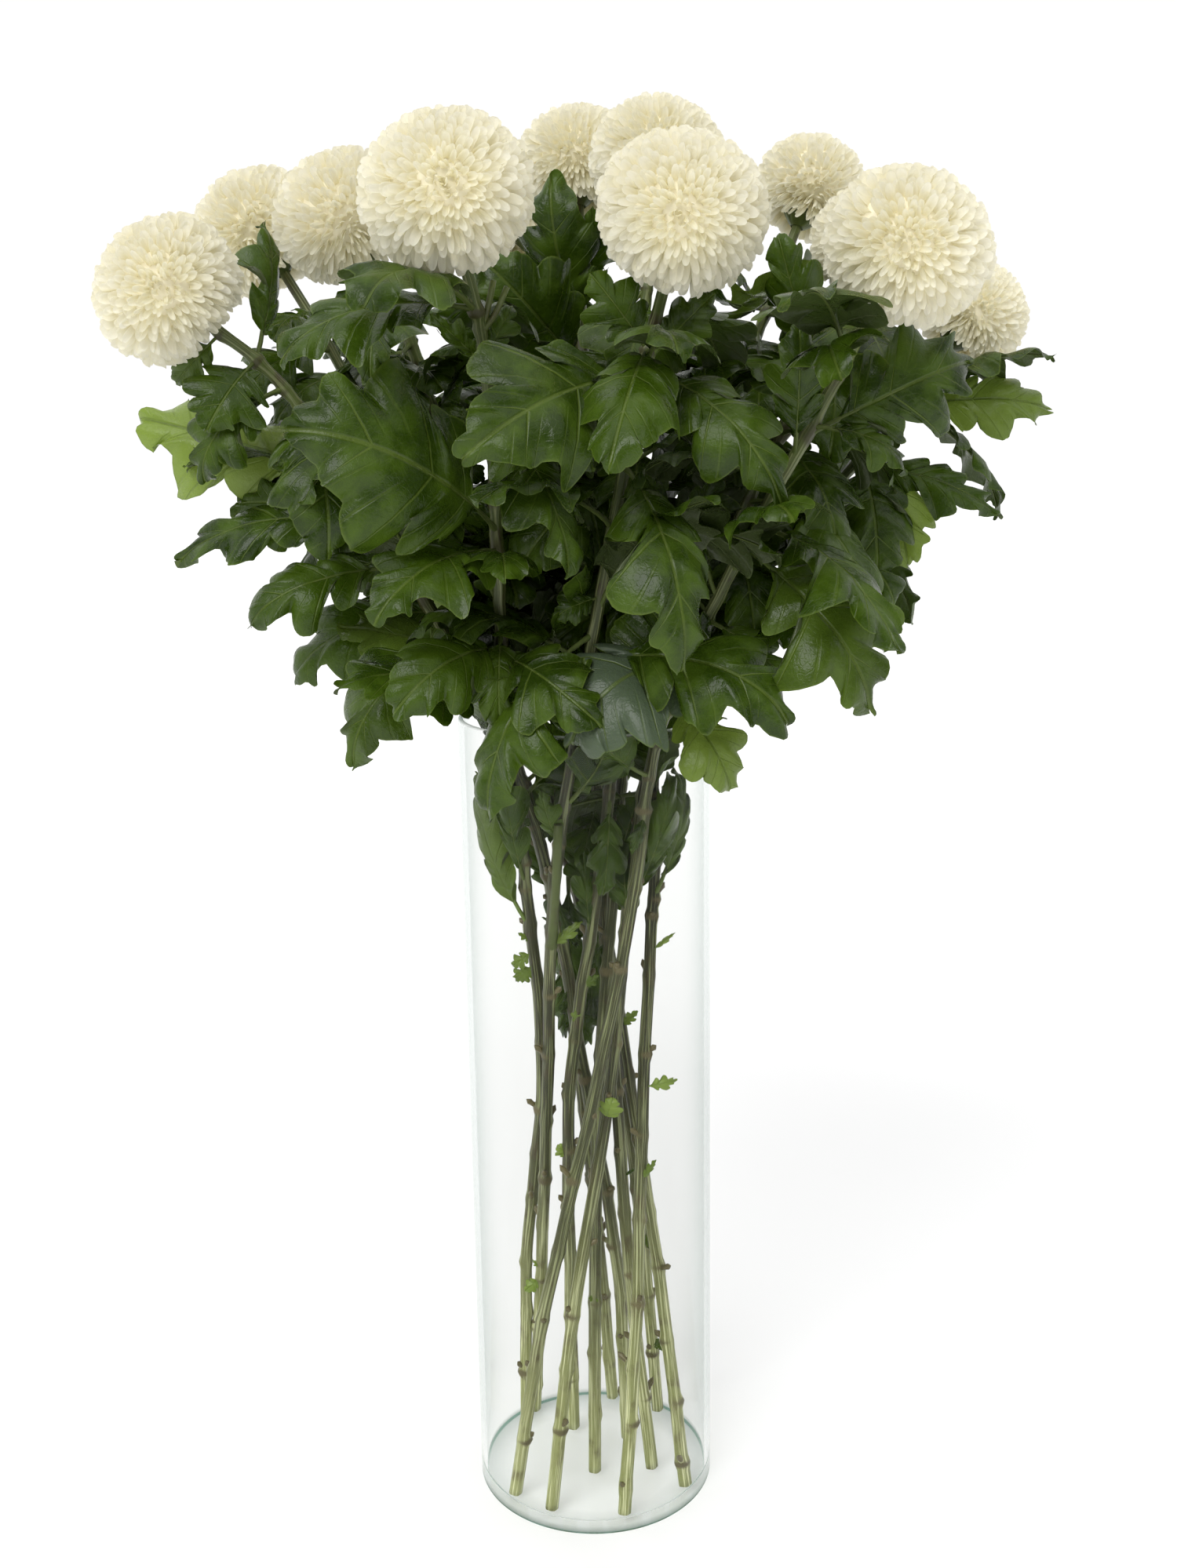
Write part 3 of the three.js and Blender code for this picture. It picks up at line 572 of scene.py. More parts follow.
class Nodes:
    """Short calls that add and link the nodes of one material or of the world."""

    def __init__(self, owner):
        owner.use_nodes = True
        self.owner = owner
        self.tree = owner.node_tree
        self.tree.nodes.clear()

    def add(self, kind, inputs=(), **settings):
        node = self.tree.nodes.new(f"ShaderNode{kind}")
        for name, value in settings.items():
            setattr(node, name, value)
        for name, value in dict(inputs).items():
            if isinstance(value, bpy.types.NodeSocket):
                self.tree.links.new(value, node.inputs[name])
            elif isinstance(value, tuple):
                node.inputs[name].default_value = (*value, 1.0)
            else:
                node.inputs[name].default_value = value
        return node

    def math(self, operation, *values):
        return self.add("Math", dict(enumerate(values)), operation=operation).outputs[0]

    def product(self, *values):
        return self.math("MULTIPLY", *values)

    def mix(self, share, low, high):
        return self.add("Mix", {0: share, 6: low, 7: high}, data_type="RGBA").outputs[2]

    def fade(self, value, low, high, start=0.0, end=1.0):
        """The value, eased from start at low to end at high."""
        inputs = {"Value": value, "From Min": low, "From Max": high, "To Min": start, "To Max": end}
        return self.add("MapRange", inputs, interpolation_type="SMOOTHSTEP").outputs[0]

    def object_place(self):
        return self.add("TexCoord").outputs["Object"]

    def noise(self, scale, detail=3.0, roughness=0.5, place=None):
        place = place or self.object_place()
        inputs = {"Vector": place, "Scale": scale, "Detail": detail, "Roughness": roughness}
        return self.add("TexNoise", inputs).outputs[0]

    def tint(self):
        """The three parts of the tint that each point carries."""
        tint = self.add("Attribute", attribute_name="tint").outputs["Color"]
        return self.add("SeparateColor", {0: tint}).outputs[:3]

    def place(self):
        """The two parts of each point's uv."""
        return self.add("SeparateXYZ", {0: self.add("UVMap", uv_map="places").outputs[0]}).outputs[:2]

    def bump(self, height, strength, distance):
        return self.add("Bump", {"Height": height, "Strength": strength, "Distance": distance}).outputs[0]

    def principled(self, paint, roughness, specular=0.5, bump=None, **more):
        inputs = {"Base Color": paint, "Roughness": roughness, "Specular IOR Level": specular, **more}
        if bump:
            inputs["Normal"] = bump
        return self.add("BsdfPrincipled", inputs).outputs[0]

    def shader_mix(self, share, low, high):
        return self.add("MixShader", {0: share, 1: low, 2: high}).outputs[0]

    def finish(self, surface, **more):
        self.add("OutputMaterial", {"Surface": surface, **more})
        return self.owner


def material_nodes(name):
    return Nodes(bpy.data.materials.new(name))


# Florets, by how many degrees they lie from the eye of the head's face: width, share of the head's radius
# that they reach, bend towards the eye, hood at the tip, and how far round the tip curls
FLORETS = 870
FLORET_TABLE = np.array([
    (0, 0.0024, 0.945, 0.0, 0.2, 0.9), (15, 0.0031, 0.96, -0.3, 0.25, 0.85),
    (38, 0.0042, 0.97, -0.38, 0.3, 0.85), (65, 0.0050, 0.96, -0.32, 0.2, 0.75),
    (95, 0.0056, 0.955, -0.25, 0.12, 0.65), (180, 0.0064, 0.96, 0.0, 0.12, 0.65),
]).T
FLORET_CROWDING = 1.45
FLORET_STRAY = 0.028
FLORET_STRAY_RANGE = (-0.06, 0.03)
FLORET_ALONG = np.array([0, 0.5, 0.76, 0.88, 0.955, 0.99, 1.0])
FLORET_PROFILE = np.array([0.7, 0.92, 1.0, 0.92, 0.7, 0.4, 0.12])
FLORET_ACROSS = np.array([-1, -0.5, 0, 0.5, 1.0])
FLORET_ARC_ROOT = 1.2
FLORET_ROOT = 0.68
FLORET_ROLL = 0.28
USUAL_RADIUS = 0.042
SKIRT_FROM = 80
SKIRT_TO = 130
SKIRT_DROOP = 0.5
LAST_FLORET = 141
CORE = 0.8
CORE_RINGS = 14
CORE_SIDES = 28


def floret_places(flower, plant, random):
    """How far each floret turns from the eye, and its directions outwards and towards the eye."""
    turns = np.radians(np.linspace(0, 180, 181))
    widths = np.interp(np.degrees(turns), *FLORET_TABLE[:2])
    crowd = np.cumsum(np.sin(turns) / widths**FLORET_CROWDING)
    number = np.arange(FLORETS)
    angle = np.interp((number + 0.5) / FLORETS, crowd / crowd[-1], turns) + random.normal(0, 0.02, FLORETS)
    turn = number * math.radians(GOLDEN_ANGLE) + random.normal(0, 0.04, FLORETS)
    eye = unit(vector(*flower["eye"]))
    first = unit(np.cross(eye, plant["curve"].axis))
    round_eye = ring(turn) @ np.stack([first, np.cross(eye, first)])
    outward = np.cos(angle)[:, None] * eye + np.sin(angle)[:, None] * round_eye
    inward = np.sin(angle)[:, None] * eye - np.cos(angle)[:, None] * round_eye
    under = np.arccos(np.clip(outward @ plant["curve"].axis, -1, 1))
    keep = under < math.radians(LAST_FLORET)
    return np.degrees(angle)[keep], under[keep], outward[keep], inward[keep]


def floret_grids(flower, plant):
    """Spoon-shaped florets that stand out of the head, small round its eye and hanging below."""
    random = np.random.default_rng(100 + plant["index"])
    degrees, under, outward, inward = floret_places(flower, plant, random)
    count = len(degrees)
    width, reach, bend, hood, arc_tip = (
        np.interp(degrees, FLORET_TABLE[0], values) for values in FLORET_TABLE[1:])
    sideways = np.cross(inward, outward)
    fall = plant["curve"].axis * -1
    fall = fall - outward * (outward @ fall)[:, None]
    skirt = smoothstep(np.degrees(under), SKIRT_FROM, SKIRT_TO)
    reach *= flower["radius"] / np.hypot(np.sin(under), np.cos(under) / FLATNESS)
    reach *= 1 + random.normal(0, FLORET_STRAY, count).clip(*FLORET_STRAY_RANGE)
    length = reach * (1 - FLORET_ROOT)
    half = width / 2 * (1 + random.normal(0, 0.1, count)) * flower["radius"] / USUAL_RADIUS
    bend += random.normal(0, 0.1, count)
    sway = inward * bend[:, None] + fall * (SKIRT_DROOP * skirt)[:, None]
    sway = sway + sideways * random.normal(0, 0.1, (count, 1))
    along = FLORET_ALONG[None, :, None]
    spine = outward[:, None] * (reach[:, None] - length[:, None] * (1 - FLORET_ALONG))[..., None]
    spine = spine + sway[:, None] * length[:, None, None] * along**2
    ahead = unit(outward[:, None] + sway[:, None] * 2 * along)
    roll = random.normal(0, FLORET_ROLL, count)[:, None, None]
    level = unit(np.cross(ahead, sideways[:, None]))
    side = sideways[:, None] * np.cos(roll) + level * np.sin(roll)
    cup = unit(np.cross(side, ahead))
    cup = cup * np.sign(np.sum(cup * inward[:, None], -1, keepdims=True))
    arc = lerp(FLORET_ARC_ROOT, arc_tip[:, None, None], along)
    profile = FLORET_PROFILE[None, :, None]
    wide = profile * np.sin(arc * FLORET_ACROSS) / np.sin(arc)
    rise = profile * (1 - np.cos(arc * FLORET_ACROSS)) / np.sin(arc) + hood[:, None, None] * along**8
    scale = half[:, None, None, None]
    points = (spine[:, :, None] + side[:, :, None] * scale * wide[..., None]
              + cup[:, :, None] * scale * rise[..., None])
    uv = np.stack(np.broadcast_arrays(FLORET_ACROSS[None], FLORET_ALONG[:, None]), -1)
    tint = np.zeros(points.shape)
    tint[..., 0] = along
    tint[..., 1] = random.random(count)[:, None, None]
    tint[..., 2] = (1 - smoothstep(degrees, 10, 45))[:, None, None]
    return points, uv, tint


def core_grid(radius):
    """The core of a head, from its top to its flat underside."""
    angle = np.linspace(0.02, np.pi - 0.02, CORE_RINGS)[:, None]
    turn = 2 * np.pi * np.arange(CORE_SIDES)[None] / CORE_SIDES
    flat = CORE * radius * np.sin(angle)[..., None] * ring(turn)
    height = np.maximum(CORE * radius * FLATNESS * np.cos(angle), -radius * FLATNESS * UNDERSIDE)
    return np.concatenate([flat, np.broadcast_to(height[..., None], (CORE_RINGS, CORE_SIDES, 1))], -1)


def head_turn(plant):
    """The rotation that turns rows of upright points onto the head's own axis."""
    return np.array(Vector((0, 0, 1)).rotation_difference(Vector(plant["curve"].axis)).to_matrix()).T


def bloom_piece(flower, plant, petal, core):
    """A head: its florets round a core that shows deep between them."""
    shape = Shape()
    centre = vector(*flower["head"])
    points, uv, tint = floret_grids(flower, plant)
    shape.grids(points + centre, uv, tint)
    shape.grid(core_grid(flower["radius"]) @ head_turn(plant) + centre, look=1, closed=True)
    piece = shape.piece(f"florets_{flower['name']}", petal, core)
    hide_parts(f"bloom_{flower['name']}")
    return piece


# Calyx: rows of narrow bracts from a cup under the head, as (start and end from the axis, rise, bracts)
BRACT_ROWS = [(0.0042, 0.0125, 0.009, 16), (0.0036, 0.0105, 0.0065, 14), (0.0032, 0.008, 0.0035, 12)]
BRACT_WIDTH = 0.0032
BRACT_PROFILE = ([0, 0.45, 0.85, 1], [0.8, 1, 0.7, 0.12])


def calyx_grids(flower, plant):
    """The green cup under a head, and the bracts round it."""
    top = -flower["radius"] * FLATNESS * UNDERSIDE - TOUCH_GAP
    heights = np.linspace(0, 1, 8)
    cup_radius = lerp(STEM_RADIUS_TOP * 0.95, CALYX_RADIUS, heights**1.6)
    cup_path = np.stack([0 * heights, 0 * heights, top - CALYX_HEIGHT * (1 - heights)], -1)
    cup = tube_grid(cup_path, cup_radius, vector(0, 1, 0), 20)
    bracts = []
    along = np.linspace(0, 1, 6)[:, None]
    across = np.linspace(-1, 1, 5)[None, :]
    half = BRACT_WIDTH / 2 * np.interp(along, *BRACT_PROFILE)
    for row, (start, end, rise, count) in enumerate(BRACT_ROWS):
        for k in range(count):
            keys = (plant["index"], row, k)
            turn = 2 * math.pi * (k + row / 2) / count + draw(-0.1, 0.1, *keys, 31)
            away = vector(math.cos(turn), math.sin(turn), 0)
            side = vector(-math.sin(turn), math.cos(turn), 0)
            reach = lerp(start, end * draw(0.9, 1.12, *keys, 32), along**0.8)
            lift = top - CALYX_HEIGHT * (1.05 - row * 0.03) + rise * draw(0.9, 1.1, *keys, 33) * along
            hollow = 0.25 * half * across**2
            bracts.append(away * (reach - hollow)[..., None] + side * (half * across)[..., None]
                          + vector(0, 0, 1) * (lift + 0 * across)[..., None])
    return cup, np.array(bracts)


# Blade: its outline as (along, out, vein, where that vein leaves the midrib), in shares of the leaf's length
BLADE_OUTLINE = np.array([
    (0.170, 0.012, 0.00, 0.170), (0.235, 0.045, 0.25, 0.190), (0.300, 0.135, 0.55, 0.215),
    (0.345, 0.215, 0.80, 0.235), (0.405, 0.250, 1.00, 0.255), (0.455, 0.225, 1.20, 0.285),
    (0.465, 0.155, 1.50, 0.335), (0.500, 0.175, 1.60, 0.360), (0.555, 0.265, 1.80, 0.400),
    (0.625, 0.330, 1.93, 0.430), (0.690, 0.330, 2.07, 0.460), (0.735, 0.265, 2.25, 0.500),
    (0.745, 0.165, 2.50, 0.565), (0.800, 0.165, 2.75, 0.630), (0.865, 0.165, 3.00, 0.700),
    (0.895, 0.125, 3.30, 0.780), (0.945, 0.085, 3.60, 0.860), (0.985, 0.035, 3.85, 0.930),
    (1.000, 0.000, 4.00, 0.975),
])
# The same blade with its bays filled, by how much further out each point then lies
BLADE_FILLING = np.array([
    0, 0, 0.01, 0.005, 0, 0.03, 0.10, 0.09, 0.03, 0, 0, 0.03, 0.105, 0.085, 0.05, 0.045, 0.03, 0.015, 0,
])
BLADE_FULLNESS = (-0.65, 0.25)
BLADE_ROWS = 64
BLADE_ACROSS = np.array([0, 0.25, 0.55, 0.83, 1])
BLADE_STRAY = 0.017
BLADE_TOOTH = 0.008
BLADE_TOOTH_SPREAD = (0.7, 1.3)
BLADE_RIPPLE = 0.032
BLADE_RIPPLE_PACE = (1.4, 2.0)
BLADE_RIPPLE_START = (0, 6.3)
BLADE_PUFF = 0.02
BLADE_SCALLOP = 0.035
BLADE_CURLS = (0.5, 1.6)
GLASS_REACH = VASE_RADIUS - VASE_WALL - 0.002
GLASS_EASE = 0.006
GLASS_ENDS = (VASE_HEIGHT + 0.002, VASE_HEIGHT + 0.04)
MIDRIB_STEPS = np.linspace(0, 1.04, 53)
TIP_NOD_FROM = 0.5
TWIST = 0.22
MIDRIB_END = 0.96
PETIOLE_RADIUS = 0.0013
PETIOLE_PROFILE = ([0, 0.04, 0.17, 0.5, 1], [1.9, 1.15, 1, 0.6, 0.15])
FULL_PETIOLE_LENGTH = 0.06
RIB_SIDES = 6


def smooth_line(points, rows):
    """Points spread over the smooth curve through the given ones."""
    place = np.linspace(0, len(points) - 1, rows)
    index = np.minimum(place.astype(int), len(points) - 2)
    slopes = np.gradient(points, axis=0)
    return eased(points[index], points[index + 1], slopes[index], slopes[index + 1], (place - index)[:, None])


def half_blade(random):
    """One side of a blade: how far along, sideways and up each point lies, its vein and its way out."""
    stray = random.normal(0, BLADE_STRAY, BLADE_OUTLINE.shape) * [1, 1, 0, 0]
    stray[[0, -1]] = 0
    filling = random.uniform(*BLADE_FULLNESS) * BLADE_FILLING
    line = smooth_line(BLADE_OUTLINE + stray + filling[:, None] * [0, 1, 0, 0], BLADE_ROWS)
    place = np.linspace(0, len(BLADE_OUTLINE) - 1, BLADE_ROWS)
    edge = unit(np.gradient(line[:, :2], axis=0))
    tooth = BLADE_TOOTH * random.uniform(*BLADE_TOOTH_SPREAD)
    tooth = tooth * np.abs(np.sin(np.pi * place)) * np.clip(place / 3, 0, 1)
    share = BLADE_ACROSS[None, :]
    vein = line[:, 2:3] + 0 * share
    along = lerp(line[:, 3:4], (line[:, 0] - tooth * edge[:, 1])[:, None], share)
    out = np.maximum(line[:, 1] + tooth * edge[:, 0], 0)[:, None] * share
    step = np.diff(out, axis=1, prepend=0)
    slope = LEAF_FOLD - random.uniform(*BLADE_CURLS) * (np.maximum(out - step / 2, 0) / LEAF_WIDEST) ** 1.3
    sideways = np.cumsum(step * np.cos(slope), axis=1)
    lift = np.cumsum(step * np.sin(slope), axis=1)
    ripple = np.sin(place * random.uniform(*BLADE_RIPPLE_PACE) + random.uniform(*BLADE_RIPPLE_START))
    lift += BLADE_RIPPLE * ripple[:, None] * share**2
    lift += BLADE_PUFF * np.sin(np.pi * vein) ** 2 * 4 * share * (1 - share)
    lift -= BLADE_SCALLOP * (2 * np.abs(vein - np.round(vein))) ** 2 * share**3
    return along, sideways, lift, vein, share + 0 * vein


class Midrib:
    """A leaf's middle line, which arches and may nod at its tip."""

    def __init__(self, leaf, random):
        self.leaf = leaf
        self.length = np.linalg.norm(leaf["tip"] - leaf["root"])
        slope = leaf["arch"] * 4 * (1 - 2 * MIDRIB_STEPS)
        nod = -random.uniform(*leaf["nods"]) * smoothstep(MIDRIB_STEPS, TIP_NOD_FROM, 1.1)
        way = np.stack([np.cos(nod) - slope * np.sin(nod), np.sin(nod) + slope * np.cos(nod)])
        place = MIDRIB_STEPS[1] * (np.cumsum(way, axis=1) - (way + way[:, :1]) / 2)
        self.lines = (*place, *way)

    def frame(self, share):
        """The points at shares of the length, and the unit direction out of the blade there."""
        ahead, lift, along, up = (np.interp(share, MIDRIB_STEPS, line)[..., None] for line in self.lines)
        forward, normal = self.leaf["forward"], self.leaf["normal"]
        point = self.leaf["root"] + self.length * (forward * ahead + normal * lift)
        return point, unit(normal * along - forward * up)


def inside_glass(leaf, points):
    """The points of a leaf that grows inside the vase, pressed against the glass instead of through it."""
    if leaf["root"][2] > VASE_HEIGHT:
        return points
    reach = np.hypot(points[..., 0], points[..., 1])
    start = GLASS_REACH - GLASS_EASE
    held = GLASS_REACH - GLASS_EASE * np.exp(-np.maximum(reach - start, 0) / GLASS_EASE)
    share = np.where(reach > start, held / np.maximum(reach, 1e-6), 1)
    share = lerp(share, 1, smoothstep(points[..., 2], *GLASS_ENDS))
    return points * np.stack([share, share, np.ones_like(share)], -1)


def leaf_grids(leaf, random):
    """A leaf's blade and, under it, its petiole and midrib."""
    midrib = Midrib(leaf, random)
    left, right = half_blade(random), half_blade(random)
    along, out, lift, vein, share = (np.hstack([a[:, :0:-1], b]) for a, b in zip(left, right))
    sign = np.repeat([1, -1], [len(BLADE_ACROSS) - 1, len(BLADE_ACROSS)])
    across = sign * out * leaf["width"]
    point, upwards = midrib.frame(along)
    side = np.cross(leaf["normal"], leaf["forward"])
    twist = random.normal(0, TWIST) * along
    level = (across * np.cos(twist) - lift * np.sin(twist))[..., None] * midrib.length
    raised = (lift * np.cos(twist) + across * np.sin(twist))[..., None] * midrib.length
    blade = inside_glass(leaf, point + side * level + upwards * raised)
    tint = np.zeros(blade.shape)
    tint[..., 0] = out / LEAF_WIDEST
    # A random tone times the leaf's share of painted brightness, which paints shade on the leaves deep in the
    # bunch.
    tint[..., 1] = random.random() * leaf["light"]
    tint[..., 2] = leaf["young"]
    steps = np.linspace(0, MIDRIB_END, 16)
    point, upwards = midrib.frame(steps)
    thick = PETIOLE_RADIUS * np.interp(steps, *PETIOLE_PROFILE) * min(1, midrib.length / FULL_PETIOLE_LENGTH)
    rib_path = inside_glass(leaf, point - upwards * (thick * smoothstep(steps, 0.1, 0.25) * 0.8)[:, None])
    rib = tube_grid(rib_path, thick, leaf["normal"], RIB_SIDES)
    return blade, np.stack([vein, share], -1), tint, rib


def foliage_piece(flower, plant, blade_look, rib_look):
    """All the leaves of one stem."""
    shape = Shape()
    for leaf in plant["leaves"] + plant["sprouts"]:
        blade, uv, tint, rib = leaf_grids(leaf, np.random.default_rng([plant["index"], leaf["key"]]))
        shape.grid(blade, uv, tint)
        shape.grid(rib, tint=tint[0, 0], look=1, closed=True)
    piece = shape.piece(f"foliage_{flower['name']}", blade_look, rib_look)
    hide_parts(f"leafy_stem_{flower['name']}")
    return piece


# Stem: its nodes, and what the stripped leaves left on it
STEM_SIDES = 20
STEM_STEPS = 150
NODE_SPACING = 0.042
NODE_STRAY = 0.009
LOWEST_NODE = 0.02
NODE_SWELLING = 0.42
NODE_REACH = 0.0026
SCAR_REACH = 0.0017
ZIGZAG = 0.0008
STUB_SHARE = 0.85
STUB_RADIUS = 0.0015
STUB_LENGTHS = (0.002, 0.011)
STUB_PROFILE = np.array([1.9, 1.6, 1.15, 1.1, 1.35, 0.2])
STUB_SIDES = 7
CUT_PROFILE = np.array([1.5, 1.2, 1.05, 1, 1, 1, 1, 1, 0.1])
CUT_SAG = 0.12
CUT_SIDES = 9


def stem_nodes(plant):
    """The heights and the sides of a stem's nodes, up to where its top leaf grows."""
    index = plant["index"]
    nodes = []
    height = LOWEST_NODE + draw(0, NODE_SPACING, index, 41)
    while height < LOWEST_LEAF:
        nodes.append((height, math.radians(len(nodes) * GOLDEN_ANGLE + draw(0, 360, index, 42))))
        height += NODE_SPACING + draw(-NODE_STRAY, NODE_STRAY, index, len(nodes), 43)
    for leaf in plant["leaves"]:
        nodes.append((leaf["root"][2], math.atan2(leaf["forward"][1], leaf["forward"][0])))
    return sorted(nodes)


def add_stem(shape, plant, nodes, own):
    """The stem itself, with its ridges, swollen nodes and cut end."""
    index = plant["index"]
    along = np.linspace(0, 1 - 0.5 * CALYX_HEIGHT / VASE_HEIGHT, STEM_STEPS)
    path = np.array([plant["curve"].point(share) for share in along])
    bend = ZIGZAG * np.sin(np.arange(len(nodes)) * math.pi + 0.5)
    sway = np.interp(path[:, 2], [height for height, _ in nodes], bend, left=0, right=0)
    path[:, :2] += sway[:, None] * ring(index)
    turn = 2 * np.pi * np.arange(STEM_SIDES) / STEM_SIDES
    ridge = 0.7 * np.cos(5 * turn + 7 * along[:, None]) + 0.3 * np.cos(8 * turn + 1 - 5 * along[:, None])
    radius = lerp(STEM_RADIUS_FOOT, STEM_RADIUS_TOP, along)[:, None] * (1 + 0.07 * ridge)
    scar = np.zeros(radius.shape)
    for height, side in nodes:
        away = path[:, 2:3] - height
        facing = 0.5 + 0.5 * np.cos(turn[None] - side)
        radius *= 1 + NODE_SWELLING * np.exp(-((away / NODE_REACH) ** 2)) * lerp(0.25, 1, facing)
        scar = np.maximum(scar, np.exp(-((away / SCAR_REACH) ** 2)) * lerp(0.35, 1, facing))
    tint = np.stack(np.broadcast_arrays(path[:, 2:3], scar, own), -1)
    tube = tube_grid(path, radius, vector(0, 1, 0), STEM_SIDES)
    middle = np.broadcast_to(path[0] + vector(0, 0, 0.0006), (1, STEM_SIDES, 3))
    inner = lerp(middle, tube[:1], 0.62) - vector(0, 0, 0.0004)
    cut_tint = np.full((2, STEM_SIDES, 3), (0.0, 0.45, own))
    tint = np.concatenate([cut_tint, tint])
    shape.grid(np.concatenate([middle, inner, tube]), ring(turn), tint, closed=True)


def add_stub(shape, plant, number, height, side):
    """What is left of a leaf's petiole: short, bent upwards and brown at its torn end."""
    keys = (plant["index"], number)
    foot = stem_point_at(plant["spine"], height)
    length = draw(*STUB_LENGTHS, *keys, 46) * (1 - 0.3 * draw(0, 1, *keys, 49))
    away = vector(math.cos(side), math.sin(side), draw(0.3, 1.2, *keys, 47))
    steps = np.linspace(0, 1, len(STUB_PROFILE))[:, None]
    path = foot + unit(away) * steps * (STEM_RADIUS_FOOT + length) + vector(0, 0, 0.25) * length * steps**2
    tint = np.array([[height, 0.35 + 0.65 * (step > 0.5), draw(0, 1, *keys, 48)] for step in steps[:, 0]])
    tube = tube_grid(path, STUB_RADIUS * STUB_PROFILE, vector(-away[1], away[0], 0), STUB_SIDES)
    shape.grid(tube, tint=tint[:, None], closed=True)


def add_cut(shape, plant, height, tip, thick):
    """A side shoot that was cut off, with its flat pale end."""
    foot = stem_point_at(plant["spine"], height)
    steps = np.linspace(0, 1, len(CUT_PROFILE) - 1)[:, None]
    path = lerp(foot, tip, steps) - vector(0, 0, CUT_SAG) * np.linalg.norm(tip - foot) * np.sin(np.pi * steps)
    path = np.concatenate([path, path[-1:] + 2e-4 * unit(path[-1:] - path[-2:-1])])
    tint = np.array([[max(height, 0.6), 0.0, 0.8]] * len(steps) + [[0.1, 0.0, 0.9]])
    tube = tube_grid(path, thick * CUT_PROFILE, vector(0, 1, 0), CUT_SIDES)
    shape.grid(tube, tint=tint[:, None], closed=True)


def stem_piece(flower, plant, look):
    """A stem with its leaf stubs and cut shoots, and the calyx at its top."""
    index = plant["index"]
    nodes = stem_nodes(plant)
    own = draw(0, 1, index, 44)
    shape = Shape()
    add_stem(shape, plant, nodes, own)
    for number, (height, side) in enumerate(nodes):
        if height < LOWEST_LEAF and draw(0, 1, index, number, 45) < STUB_SHARE:
            add_stub(shape, plant, number, height, side)
    for height, tip, thick in flower.get("cuts", []):
        add_cut(shape, plant, height, vector(*tip), thick)
    turned = head_turn(plant)
    cup, bracts = calyx_grids(flower, plant)
    centre = vector(*flower["head"])
    green = np.array([0.9, 0.0, own])
    shape.grid(cup @ turned + centre, tint=green, closed=True)
    shade = np.full(bracts.shape, green)
    shade[:, -2:, :, 0] = 1.1
    shape.grids(bracts @ turned + centre, np.zeros(2), shade)
    piece = shape.piece(f"stem_{flower['name']}", look)
    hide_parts(f"leafy_stem_{flower['name']}")
    return piece


# Vase section: the radii of its foot, inner corner and rim, and how far the painted shade line at the foot and
# the painted highlight at the rim reach
FOOT_EDGE = 0.0015
INNER_EDGE = 2.5 * FOOT_EDGE
EDGE_HOLD = 0.0008
RIM_EDGE = VASE_WALL / 2
FOOT_SHADE_REACH = 1.9 * FOOT_EDGE
RIM_HIGHLIGHT_REACH = 0.0009


def rounded_corner(centre, radius, start, end, steps=7):
    """Points of an arc round a corner of the vase's section, in degrees from straight outwards."""
    turn = np.radians(np.linspace(start, end, steps))
    return [vector(*centre) + radius * point for point in ring(turn)]


def vase_piece(glass):
    """The glass cylinder with its thick base and fire-rounded rim, turned from its section."""
    inner = VASE_RADIUS - VASE_WALL
    side = np.linspace(0.05, VASE_HEIGHT - 0.05, 8)
    top = VASE_HEIGHT - RIM_EDGE
    section = [
        *((share * VASE_RADIUS, 0) for share in (0, 0.3, 0.7)), (VASE_RADIUS - FOOT_EDGE - EDGE_HOLD, 0),
        *rounded_corner((VASE_RADIUS - FOOT_EDGE, FOOT_EDGE), FOOT_EDGE, -90, 0),
        (VASE_RADIUS, FOOT_EDGE + EDGE_HOLD), (VASE_RADIUS, 4 * FOOT_EDGE),
        *((VASE_RADIUS, height) for height in side), (VASE_RADIUS, top - EDGE_HOLD),
        *rounded_corner((VASE_RADIUS - RIM_EDGE, top), RIM_EDGE, 0, 180, 13),
        (inner, top - EDGE_HOLD), *((inner, height) for height in side[::-1]),
        (inner, VASE_BASE + INNER_EDGE + EDGE_HOLD),
        *rounded_corner((inner - INNER_EDGE, VASE_BASE + INNER_EDGE), INNER_EDGE, 0, -90),
        (inner - INNER_EDGE - EDGE_HOLD, VASE_BASE), *((share * inner, VASE_BASE) for share in (0.7, 0.3, 0)),
    ]
    radii, heights = np.array(section).T[:, :, None]
    turn = 2 * np.pi * np.arange(VASE_SIDES)[None] / VASE_SIDES
    # The rim's painted highlight and the foot's dark painted shade line, as tints.
    rim = np.exp(-((heights - VASE_HEIGHT) / RIM_HIGHLIGHT_REACH) ** 2)
    foot = np.minimum(1.3 * np.exp(-(np.hypot(radii - VASE_RADIUS, heights) / FOOT_SHADE_REACH) ** 2), 1)
    shape = Shape()
    shape.grid(np.stack(np.broadcast_arrays(radii * np.cos(turn), radii * np.sin(turn), heights), -1),
               tint=np.stack([foot, heights, rim], -1), closed=True)
    piece = shape.piece("clear_vase", glass)
    solid = bmesh.new()
    solid.from_mesh(piece.data)
    bmesh.ops.remove_doubles(solid, verts=solid.verts, dist=1e-7)
    bmesh.ops.recalc_face_normals(solid, faces=solid.faces)
    solid.to_mesh(piece.data)
    solid.free()
    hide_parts("vase")
    return piece


